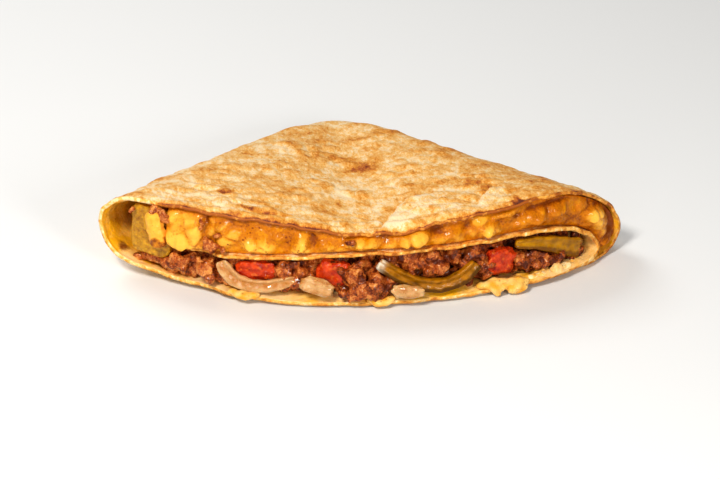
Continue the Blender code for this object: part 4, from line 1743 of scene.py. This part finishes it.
@dataclass(eq=False)
class Mince:
    """Minced beef: a core that fills the wrap and the fused crumbs that show in its mouth."""

    left: float = -101 * MM
    right: float = 90 * MM
    cheese_left: float = -87 * MM
    start: float = 0.175
    step_down: float = 0.234
    front: float = 0.94
    left_z: float = 32 * MM
    mouth: Pair = (0.82, 0.92)
    inner_rows: tuple[float, float, int] = (0.32, 0.885, 10)
    front_rows: Pair = (0.875, 0.91)
    scattered: int = 560
    # Scattered crumbs' sizes and radii, in millimetres; on the left they stay further in
    crumb: Pair = (0.9, 2.7)
    shell: Pair = (148, 152.2)
    left_shell: float = 150.4
    # Left of the first, they stay below the second
    low_left: Pair = (-66 * MM, 13 * MM)
    # Right of the first and above the second, they stand back by the third
    set_back: Triple = (54 * MM, 12 * MM, 2.6 * MM)
    voxel: float = 0.5 * MM
    rough: float = 0.34 * MM
    reach: float = 159.9 * MM
    batch: int = 24
    seed: int = 11

    def build(self, material: Material) -> None:
        """Builds the filling and the bits that lie on the cheese.

        Args:
            material: the piece's material.
        """
        draw = random.Random(self.seed)
        bm = self._core((*self.front_rows, self.front))
        self._heaps(bm, CLUMPS, draw)
        self._scatter(bm, draw)
        beef = self._fused("beef_mince", bm, material)
        step = (self.step_down - 0.002, self.step_down + 0.006)
        core = self._core((self.start, *step, *np.linspace(*self.inner_rows)))
        core.from_mesh(beef.data)
        core.to_mesh(beef.data)
        core.free()
        beef.data.shade_smooth()
        add_piece(beef, "beef", "beef_filling")
        bits = bmesh.new()
        self._heaps(bits, BEEF_BITS, draw)
        add_piece(self._fused("beef_bits", bits, material), "beef")

    def crumble(self, name: str, clumps: Sequence[Clump], material: Material) -> None:
        """Builds flakes of the sheet in the same way.

        Args:
            name: the piece's name.
            clumps: the clumps of flakes.
            material: the piece's material.
        """
        bm = bmesh.new()
        self._heaps(bm, clumps, random.Random(len(clumps)))
        obj = self._fused(name, bm, material)
        with editing(obj) as bm:
            relax(bm, bm.verts, 3)
            paint(bm, toast=lambda at: 0.16 + 0.3 * noise_at(at, 2.5))
        add_piece(obj, "tortilla")

    def _floor(self, across: float, along: float) -> float:
        """The lowest the beef may reach.

        Args:
            across: place across.
            along: place along.

        Returns:
            The height.
        """
        gap = SHEET.thickness / 2 + 0.5 * SHEET.gap
        if across > RUNS[Stretch.BOTTOM][1]:
            return SHEET.bottom_z + gap
        line = self._beside(Stretch.LEFT_TURN, along, 0.5, 1.0, gap)
        return max(SHEET.bottom_z + gap, height_over(line, across))

    @lru_cache(maxsize=4096)
    def _beside(self, stretch: Stretch, along: float, first: float, last: float, gap: float) -> np.ndarray:
        """A line beside part of a turn, worked out once."""
        return SHEET.beside(stretch, along, np.linspace(first, last, 18), gap)

    def _ceiling(self, across: float, along: float) -> float:
        """The highest the beef may reach.

        Args:
            across: place across.
            along: place along.

        Returns:
            The height.
        """
        gap = SHEET.thickness / 2 + SHEET.gap
        if along < self.step_down or across < self.cheese_left:
            if across < RUNS[Stretch.TOP][0]:
                top = height_over(self._beside(Stretch.LEFT_TURN, along, 0.0, 0.5, gap), across)
            elif across > RUNS[Stretch.TOP][1]:
                top = height_over(self._beside(Stretch.OUTER_TURN, along, 0.0, 0.5, -gap), across)
            else:
                top = SHEET.top_level(across, along) - gap
            return top if along < self.step_down else min(SHEET.raised(self.left_z, along), top)
        if across < RUNS[Stretch.MIDDLE][1]:
            return SHEET.middle_level(across, along) - gap
        return height_over(self._beside(Stretch.INNER_TURN, along, 0.0, 0.6, -gap), across)

    def _left_end(self, along: float) -> float:
        """Where the beef ends on the left: against the fold inside, short of it at the mouth.

        Args:
            along: place along.

        Returns:
            The place across.
        """
        gap = SHEET.thickness / 2 + SHEET.gap
        wall = self._beside(Stretch.LEFT_TURN, along, 0.3, 0.7, gap)[:, 0].min()
        wall += MM / SHEET.width_scale(along)
        start, end = self.mouth
        return wall + (self.left - wall) * smooth((along - start) / (end - start))

    def _core(self, rows: Sequence[float]) -> BMesh:
        """The filling's body between the sheet's layers.

        Args:
            rows: places along it.

        Returns:
            The mesh.
        """
        left = [0.0, 0.15, 0.4, 0.7, 1.0]
        right = list(np.linspace(self.cheese_left, self.right, 30))

        def place(u: float, v: float, w: float) -> Vector:
            """A corner of the body.

            Args:
                u: share of the way along X.
                v: share of the way along Y.
                w: share of the way along Z.

            Returns:
                The point.
            """
            along = round(float(np.interp(v * (len(rows) - 1), range(len(rows)), rows)), 6)
            start = self._left_end(along)
            stops = [start + (self.cheese_left - MM - start) * share for share in left] + right
            across = float(np.interp(u * (len(stops) - 1), range(len(stops)), stops))
            low = self._floor(across, along)
            high = max(low + 1.2 * MM, self._ceiling(across, along) - 0.2 * MM)
            return SHEET.plan(across, along, low + (high - low) * w)

        return block(len(left) + len(right) - 1, len(rows) - 1, 2, place)

    def _heaps(self, bm: BMesh, clumps: Sequence[Clump], draw: random.Random) -> None:
        """Adds the crumbs of several clumps."""
        for clump in clumps:
            self._heap(bm, clump, draw)

    def _heap(self, bm: BMesh, clump: Clump, draw: random.Random) -> None:
        """Adds a clump's crumbs, packed about its centre.

        Args:
            bm: the mesh.
            clump: the clump.
            draw: the source of random numbers.
        """
        crumbs = []
        for _ in range(clump.count):
            way = Vector([draw.gauss(0.0, 0.45) for _ in range(3)])
            across, radius, height = (
                (middle + half * off) * MM for middle, half, off in zip(clump.centre, clump.size, way)
            )
            size = draw.uniform(*clump.crumb) * MM
            radius = min(radius, self.reach - size)
            crumbs.append((SHEET.spot(across, radius, height), size))
        self._add_crumbs(bm, crumbs, draw)

    def _add_crumbs(
        self, bm: BMesh, crumbs: Sequence[tuple[Vector, float]], draw: random.Random
    ) -> None:
        """Adds crumbs to a mesh.

        Args:
            bm: the mesh.
            crumbs: the crumbs' centres and sizes.
            draw: the source of their uneven shapes.
        """
        for first in range(0, len(crumbs), self.batch):
            few = bmesh.new()
            for centre, size in crumbs[first : first + self.batch]:
                self._crumb(few, centre, size, draw)
            batch = bpy.data.meshes.new("crumbs")
            few.to_mesh(batch)
            few.free()
            bm.from_mesh(batch)
            bpy.data.meshes.remove(batch)

    def _scatter(self, bm: BMesh, draw: random.Random) -> None:
        """Covers the core's front with crumbs from floor to ceiling.

        Args:
            bm: the mesh.
            draw: the source of random numbers.
        """
        crumbs = []
        inner, outer = self.shell
        left, left_top = self.low_left
        right, upper, back = self.set_back
        for _ in range(self.scattered):
            across = draw.uniform(self.left - 2 * MM, self.right + 2 * MM)
            size = draw.uniform(*self.crumb) * MM
            low = self._floor(across, self.front) + 0.7 * size
            high = self._ceiling(across, self.front) - 0.8 * size
            if across < left:
                high = min(high, left_top)
            height = low + (high - low) * draw.random() if high > low else low
            radius = draw.uniform(inner, outer if across > left else self.left_shell) * MM
            if across > right and height > upper:
                radius -= back
            crumbs.append((SHEET.spot(across, radius, height), size))
        self._add_crumbs(bm, crumbs, draw)

    @staticmethod
    def _crumb(bm: BMesh, centre: Vector, size: float, draw: random.Random) -> None:
        """Adds one uneven crumb.

        Args:
            bm: the mesh.
            centre: the crumb's centre.
            size: the crumb's radius.
            draw: the source of random numbers.
        """
        made = bmesh.ops.create_icosphere(bm, subdivisions=2, radius=1.0)
        turn = Matrix.Rotation(draw.uniform(0.0, math.tau), 3, Vector((draw.random(), draw.random(), 1.0)))
        stretch = Vector([draw.uniform(0.6, 1.45) for _ in range(3)])
        shift = Vector((draw.uniform(-50, 50), 0.0, 0.0))
        for vert in made["verts"]:
            swell = 1.0 + 0.35 * noise.noise(vert.co * 1.8 + shift)
            vert.co = centre + turn @ Vector([vert.co[k] * stretch[k] * size * swell for k in range(3)])

    def _fused(self, name: str, bm: BMesh, material: Material) -> Object:
        """Fuses a mesh's crumbs into one crumbly surface.

        Args:
            name: the piece's name.
            bm: the mesh.
            material: the piece's material.

        Returns:
            The object.
        """
        obj = fused(object_of(name, bm, [material]), self.voxel)
        with editing(obj) as bm:
            bm.normal_update()
            normals = [vert.normal.copy() for vert in bm.verts]
            for vert, normal in zip(bm.verts, normals):
                vert.co += normal * (self.rough * (noise_at(vert.co, 1.7) + 0.35 * noise_at(vert.co, 0.8)))
            paint(bm, fat=self._fat)
        return obj

    @staticmethod
    def _fat(at: Vector) -> float:
        """How pale the beef is at a point: paler on the left, darker on the right."""
        left = smooth((-45 * MM - at.x) / (30 * MM))
        return 0.08 + 0.2 * left - 0.1 * smooth(at.x / (50 * MM))


# Bits of beef on and under the cheese
BEEF_BITS: tuple[Clump, ...] = tuple(
    Clump(*row)
    for row in (
        ((-67.8, 159.8, 25.2), (3.0, 1.0, 2.4), 16, (0.9, 1.7)),
        ((-91.5, 157.0, 34.9), (3.4, 1.6, 1.4), 20, (0.9, 1.6)),
        ((-87.6, 158.0, 33.0), (2.0, 1.4, 2.6), 14, (0.8, 1.5)),
        ((-11.5, 158.4, 30.4), (3.0, 1.2, 0.9), 10, (0.7, 1.2)),
        ((-103.5, 156.5, 32.5), (1.2, 1.0, 1.6), 6, (0.7, 1.1)),
        ((-71.5, 158.0, 33.5), (0.8, 0.8, 2.4), 6, (0.5, 0.9)),
    )
)
# Torn flakes of the bottom sheet near its right end
FLAKES: tuple[Clump, ...] = tuple(
    Clump(*row)
    for row in (
        ((65, 158.0, 4.3), (3.5, 2.4, 0.3), 10, (0.8, 1.5)),
        ((71, 158.8, 4.3), (3.5, 2.4, 0.3), 12, (0.8, 1.6)),
        ((77, 159.0, 4.4), (3.5, 2.4, 0.3), 12, (0.8, 1.6)),
        ((82, 157.5, 4.6), (3.0, 2.4, 0.3), 12, (0.8, 1.7)),
        ((87, 156.0, 4.7), (3.0, 2.0, 0.3), 10, (0.8, 1.5)),
    )
)


# --- Vegetables and loose cheese ---


def centre_of(node: str) -> Triple:
    """A CAD node's middle as (across, radius, height).

    Args:
        node: the node's name.

    Returns:
        The middle.
    """
    low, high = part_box(node)
    middle = (low + high) / 2
    away = SHEET.centre_line - middle.y
    return math.atan2(middle.x, away) * SHEET.disc, math.hypot(middle.x, away), middle.z


@dataclass(eq=False)
class Lump:
    """A rounded, uneven piece.

    Size is (across, radius, height) in millimetres, power squares the corners, and seed chooses
    the uneven shape. Flecks is how strong the pale flecks are.
    """

    node: str
    name: str
    slot: str
    size: Triple
    tilt: float
    power: float
    rough: float
    seed: float
    flecks: float = 0.0
    cells: int = 32

    def build(self, material: Material) -> Object:
        """Builds the piece about its CAD node's middle.

        Args:
            material: the piece's material.

        Returns:
            The finished piece.
        """
        across, radius, height = centre_of(self.node)
        turn = Matrix.Rotation(self.tilt, 3, "Y")

        def place(u: float, v: float, w: float) -> Vector:
            """A corner of the piece.

            Args:
                u: share of the way along X.
                v: share of the way along Y.
                w: share of the way along Z.

            Returns:
                The point.
            """
            corner = Vector((2 * u - 1, 2 * v - 1, 2 * w - 1))
            way = corner / sum(abs(part) ** self.power for part in corner) ** (1.0 / self.power)
            swell = 1.0 + self.rough * noise.noise(way * 1.7 + Vector((self.seed, 0.0, 0.0)))
            swell += 0.3 * self.rough * noise.noise(way * 5.0 + Vector((0.0, self.seed, 0.0)))
            half = Vector([way[k] * self.size[k] * 0.5 * MM * swell for k in range(3)])
            local = turn @ half
            return SHEET.spot(across + local.x, radius - local.y, height + local.z)

        bm = block(self.cells, self.cells // 2, self.cells, place)
        paint(
            bm,
            rind=lambda at: 0.5 * noise_at(at, 2.4),
            pith=lambda at: self.flecks * smooth((noise_at(at, 1.5) - 0.28) / 0.2),
        )
        return add_piece(object_of(self.name, bm, [material]), self.slot, self.node)


@dataclass(eq=False)
class Strip:
    """A long piece that follows a route of (across, height), all in millimetres.

    The route starts at its left end. Groove hollows the front face, pith is the pale share of the
    length at the left end, on the pepper a membrane with a painted highlight, and browned is the share
    where browning starts at the other. Rind darkens the lower side, and core darkens the middle as
    painted see-through shade on the onion. Taper narrows both ends, widen broadens the right one and
    corner squares the sides.
    """

    node: str
    name: str
    slot: str
    width: float
    radius: float
    depth: float
    route: tuple[Pair, ...]
    cells: tuple[int, int, int] = (90, 10, 18)
    rind: float = 0.0
    core: float = 0.0
    groove: float = 0.0
    pith: float = 0.0
    browned: float = 2.0
    taper: float = 0.9
    widen: float = 0.0
    corner: float = 3.0

    def build(self, material: Material) -> Object:
        """Builds the strip along its route.

        Args:
            material: the piece's material.

        Returns:
            The finished piece.
        """
        marks: list[Pair] = []

        def place(u: float, v: float, w: float) -> Vector:
            """A corner of the strip, whose place along and across it is noted."""
            marks.append((u, w))
            return self._corner(u, v, w)

        bm = block(*self.cells, place)
        self._paint(bm, marks)
        return add_piece(object_of(self.name, bm, [material]), self.slot, self.node)

    @cached_property
    def _points(self) -> np.ndarray:
        """The route's points, in metres."""
        return np.array(self.route) * MM

    @cached_property
    def _steps(self) -> np.ndarray:
        """How long the route is up to each of its points."""
        return np.concatenate(([0.0], np.cumsum(np.linalg.norm(np.diff(self._points, axis=0), axis=1))))

    @lru_cache(maxsize=None)
    def _centre(self, share: float) -> np.ndarray:
        """The route's point at a share of its length, with its corners eased.

        Args:
            share: the share.

        Returns:
            The point, as (across, height).
        """
        points, steps = self._points, self._steps
        shares = np.clip(share + np.linspace(-0.12, 0.12, 9), 0.0, 1.0) * steps[-1]
        return np.mean([[np.interp(s, steps, points[:, k]) for k in (0, 1)] for s in shares], axis=0)

    def _corner(self, u: float, v: float, w: float) -> Vector:
        """A corner of the strip.

        Args:
            u: share of the way along the route.
            v: share of the way from back to front.
            w: share of the way over the width.

        Returns:
            The point.
        """
        run = self._centre(round(min(u + 0.02, 1.0), 5)) - self._centre(round(max(u - 0.02, 0.0), 5))
        run /= np.linalg.norm(run)
        side = np.array((-run[1], run[0]))
        taper = (1.0 - self.taper * abs(2 * u - 1) ** 7) ** 0.5
        edge = (1.0 - 0.5 * abs(2 * w - 1) ** self.corner) * (1.0 - 0.5 * abs(2 * u - 1) ** 8)
        uneven = 1.0 + 0.14 * noise.noise(Vector((u * 9.0, w * 2.0, self.radius)))
        taper *= 1.0 + self.widen * (2 * u - 1)
        middle = self._centre(round(u, 5)) + side * (w - 0.5) * self.width * MM * taper * uneven
        dent = self.groove * MM * bell((w - 0.62) / 0.2) * v
        out = (v - 0.5) * self.depth * MM * edge * uneven - dent
        out += 0.25 * MM * noise_at(Vector((middle[0], out, middle[1])), 2.2)
        return SHEET.spot(middle[0], self.radius * MM + out, middle[1])

    def _paint(self, bm: BMesh, marks: Sequence[Pair]) -> None:
        """Paints rind, pith, cream and browning; rind carries the onion's painted see-through shade and
        pith the pepper's painted highlight.

        Args:
            bm: the mesh.
            marks: each point's place along the route and over the width.
        """
        layers = [bm.verts.layers.float.new(name) for name in ("rind", "pith", "cream", "stain")]
        for vert, (u, w) in zip(bm.verts, marks):
            patchy = noise_at(vert.co, 2)
            skin = self.rind * (1.6 * smooth((0.42 - w) / 0.2) - 0.4 + patchy)
            # On the onion: painted see-through shade in the middle and painted lighter edges
            heart = self.core * (bell((w - 0.55) / 0.28) - 0.4 + 0.6 * patchy)
            # The pale left end: pith, with a painted highlight on the pepper
            pale = smooth(1.0 - u / self.pith) * (0.7 + patchy) if self.pith else 0.0
            burnt = smooth((u + 0.12 * patchy - self.browned) / 0.14)
            stain = burnt * (0.9 + 0.6 * patchy) + 0.1 * patchy
            for layer, value in zip(layers, (skin + heart, pale, 0.85 + 0.4 * patchy, stain)):
                vert[layer] = value


@dataclass(eq=False)
class Drip:
    """Melted cheese that lies on the bottom sheet's edge and runs down over it, in millimetres.

    Drops are balls of (across from the drip's middle, out from the sheet's edge, height, size).
    Swell, wide and tall scale them.
    """

    node: str
    name: str
    across: float
    drops: tuple[tuple[float, float, float, float], ...]
    swell: float = 1.12
    wide: float = 1.25
    tall: float = 0.8
    rounds: int = 24
    voxel: float = 0.32

    def build(self, material: Material) -> Object:
        """Builds the drip from balls that run into one.

        Args:
            material: the piece's material.

        Returns:
            The finished piece.
        """
        edge = SHEET.disc + SHEET.bottom_reach(self.across * MM, 0.0)
        bm = bmesh.new()
        for across, out, height, size in self.drops:
            made = bmesh.ops.create_icosphere(bm, subdivisions=3, radius=1.0)
            for vert in made["verts"]:
                uneven = noise.noise(vert.co * 1.3 + Vector((across, out, size)))
                swell = self.swell * size * MM * (1.0 + 0.3 * uneven)
                vert.co = SHEET.spot(
                    (self.across + across) * MM + self.wide * vert.co.x * swell,
                    edge + out * MM - vert.co.y * swell,
                    height * MM + self.tall * vert.co.z * swell,
                )
        drip = fused(object_of(self.name, bm, [material]), self.voxel * MM)
        with editing(drip) as bm:
            relax(bm, bm.verts, self.rounds)
            paint(
                bm,
                cream=lambda at: 0.4 + noise_at(at, 3),
                stain=lambda at: 0.3 * noise_at(at, 2) - 0.1,
                specks=lambda at: 1.0,
            )
        return add_piece(drip, "cheese", self.node)


LUMPS: tuple[Lump, ...] = (
    Lump("pickle_left", "pickle_slice", "pickle", (18.6, 3, 21.4), 0.03, 5.0, 0.05, 2.0),
    Lump("tomato_left", "tomato_dice_left", "tomato", (16, 5, 8.6), -0.1, 3.2, 0.25, 1.0, 0.5),
    Lump("tomato_middle", "tomato_dice_middle", "tomato", (13.5, 4.6, 10), 0.15, 3.2, 0.25, 2.0, 0.5),
    Lump("tomato_right", "tomato_dice_right", "tomato", (13.5, 5.6, 10.6), 0.2, 3.2, 0.25, 3.0, 0.5),
    Lump("onion_middle", "onion_bit_middle", "onion", (12.5, 4, 6.6), 0.3, 3.2, 0.2, 4.0),
    Lump("onion_right", "onion_bit_right", "onion", (12.6, 2.8, 5.2), 0.15, 3.0, 0.2, 5.0),
)
STRIPS: tuple[Strip, ...] = (
    Strip(
        "cheese_stick", "cheese_stick_end", "cheese", width=6.8, radius=158.2, depth=5.2,
        route=((-92.8, 35.0), (-91.3, 27), (-89.2, 19.2)),
        cells=(34, 14, 24), browned=0.66, taper=0.85,
    ),
    Strip(
        "onion_left", "onion_arc", "onion", width=5.6, radius=156.8, depth=1.8,
        route=((-64.5, 18.6), (-62.0, 13.2), (-57.6, 9.4), (-51, 7.9), (-43, 8.9), (-32.5, 13.0)),
        # Core darkens the middle as painted see-through shade, leaving the edges lighter as painted light
        core=0.55, groove=0.8, taper=0.8, widen=-0.2, corner=6.0,
    ),
    Strip(
        "pepper_middle", "pepper_arc", "pickle", width=5.8, radius=156.2, depth=3.4,
        route=(
            (-1.6, 20.6), (5.0, 15.6), (11.5, 11.2), (18, 8.3),
            (25, 7.4), (31.4, 8.2), (37.2, 11.0), (41.6, 16.4),
        ),
        # Its pale left end is membrane with a painted highlight
        rind=0.55, groove=0.9, pith=0.12, taper=0.35, widen=0.12, corner=9.0,
    ),
    Strip(
        "pickle_right", "pepper_ring", "pickle", width=6.6, radius=155.2, depth=3.0,
        route=((57.5, 19.8), (66, 18.6), (76.5, 15.6), (86, 11.2), (93.6, 8.6)),
        rind=0.5, groove=0.5, taper=0.3, widen=0.45, corner=9.0,
    ),
)
DRIPS: tuple[Drip, ...] = (
    Drip(
        "cheese_drip_left", "drip_left", -54.3,
        (
            (-4.6, -0.6, 4.6, 1.6), (-1.8, 0.3, 3.9, 2.0), (1.2, 0.4, 3.7, 2.1),
            (4.2, -0.2, 4.3, 1.8), (0.2, -2.4, 5.6, 1.7),
        ),
    ),
    Drip(
        "cheese_drip_middle", "drip_middle", 0.5,
        ((-3.6, -0.4, 4.0, 1.7), (-1.0, 0.4, 2.8, 2.0), (1.8, 0.4, 2.9, 2.0), (4.0, -0.4, 3.8, 1.7)),
    ),
    Drip(
        "cheese_drip_right", "drip_right", 47.5,
        (
            (1.2, 1.2, 1.2, 1.0), (0.6, 0.9, 2.4, 1.3), (0.0, 0.5, 3.8, 1.8), (2.6, 0.3, 3.8, 1.8),
            (-2.4, -1.5, 5.0, 1.9), (1.0, -2.0, 5.4, 2.2), (4.4, -1.6, 5.0, 2.1), (-5.2, -1.8, 5.2, 1.6),
        ),
    ),
    Drip(
        "cheese_drip_far", "drip_far", 56.6,
        (
            (0.6, 0.6, 1.7, 1.6), (-1.6, 0.5, 2.4, 1.8), (2.4, 0.5, 2.5, 1.8), (0.4, 0.4, 3.6, 2.2),
            (-1.5, -1.5, 4.8, 2.3), (1.8, -1.6, 4.8, 2.2), (4.2, -0.8, 4.2, 1.7), (-4.6, -1.0, 4.4, 1.9),
        ),
    ),
)


# --- The studio ---


@dataclass(frozen=True)
class Lamp:
    """A soft square light, aimed at the wrap."""

    name: str
    place: Triple
    size: float
    watts: float
    colour: Colour = (1.0, 1.0, 1.0)


@dataclass(eq=False)
class Studio:
    """A pale floor, soft lights and the camera."""

    azimuth: float = math.radians(7.85)
    elevation: float = math.radians(26.69)
    roll: float = math.radians(1.04)
    place: Triple = (-0.1587, -1.1689, 0.5850)
    lens: float = 156.68
    lamps: tuple[Lamp, ...] = (
        Lamp("key", (-0.45, -0.7, 0.85), 0.22, 8.8, (1.0, 0.97, 0.93)),
        Lamp("fill", (0.4, -1.0, 0.4), 0.25, 3.7),
        Lamp("front", (-0.3, -1.1, 0.25), 0.3, 1.3),
        Lamp("back", (-0.45, 0.5, 0.8), 0.5, 3.8),
    )
    sky: float = 0.2

    def build(self) -> None:
        """Sets up floor, lights, sky and camera."""
        self._floor()
        for lamp in self.lamps:
            self._lamp(lamp)
        world = bpy.data.worlds.new("sky")
        world.use_nodes = True
        world.node_tree.nodes["Background"].inputs["Color"].default_value = (1.0, 1.0, 1.0, 1.0)
        world.node_tree.nodes["Background"].inputs["Strength"].default_value = self.sky
        bpy.context.scene.world = world
        view = bpy.context.scene.view_settings
        view.view_transform = "Standard"
        view.look = "Medium High Contrast"
        self._camera()

    def _floor(self) -> None:
        """A plain pale floor."""
        bm = bmesh.new()
        bmesh.ops.create_grid(bm, x_segments=2, y_segments=2, size=3.0)
        recipe = Recipe("floor_plain")
        material = recipe.finish(Base_Color=(0.80, 0.80, 0.79), Roughness=0.9, Specular_IOR_Level=0.1)
        object_of("floor", bm, [material])

    @staticmethod
    def _lamp(lamp: Lamp) -> None:
        """Sets up one soft light.

        Args:
            lamp: the light.
        """
        light = bpy.data.lights.new(lamp.name, "AREA")
        light.size = lamp.size
        light.energy = lamp.watts
        light.color = lamp.colour
        obj = bpy.data.objects.new(lamp.name, light)
        obj.location = lamp.place
        obj.rotation_euler = (Vector((0, 0, 0.02)) - Vector(lamp.place)).to_track_quat("-Z", "Y").to_euler()
        bpy.context.scene.collection.objects.link(obj)

    def _camera(self) -> None:
        """The camera, a little to the left of the wrap's middle and above it."""
        camera = bpy.data.cameras.new("camera")
        camera.sensor_width = 36.0
        camera.lens = self.lens
        obj = bpy.data.objects.new("camera", camera)
        obj.location = self.place
        turn = Matrix.Rotation(-self.azimuth, 3, "Z")
        turn = turn @ Matrix.Rotation(math.pi / 2 - self.elevation, 3, "X")
        turn = turn @ Matrix.Rotation(self.roll, 3, "Z")
        obj.rotation_euler = turn.to_euler()
        bpy.context.scene.collection.objects.link(obj)
        bpy.context.scene.camera = obj


def main() -> None:
    """Builds every piece in order."""
    logging.basicConfig(level=logging.INFO, format="%(name)s: %(message)s")
    faces = (ToastedFlour().material(), SoakedFlour().material(), TornRim().material())
    Tortilla().build(faces)
    grilled = MeltedCheese("cheese_grilled", speck_share=0.9).material()
    CheeseLayer().build(grilled)
    mince = Mince()
    mince.build(BrownedBeef().material())
    loose = LOOSE_CHEESE.material()
    mince.crumble("dough_flakes", FLAKES, faces[2])
    flesh = {slot: finish.material() for slot, finish in FLESH.items()}
    flesh["cheese"] = loose
    pickle = PICKLE.material()
    for lump in LUMPS:
        lump.build(pickle if lump.node == "pickle_left" else flesh[lump.slot])
    ring = RING.material()
    for strip in STRIPS:
        own = {"cheese_stick": grilled, "pickle_right": ring}.get(strip.node)
        strip.build(own or flesh[strip.slot])
    for drip in DRIPS:
        drip.build(loose)
    Studio().build()


if __name__ == "__main__":
    main()
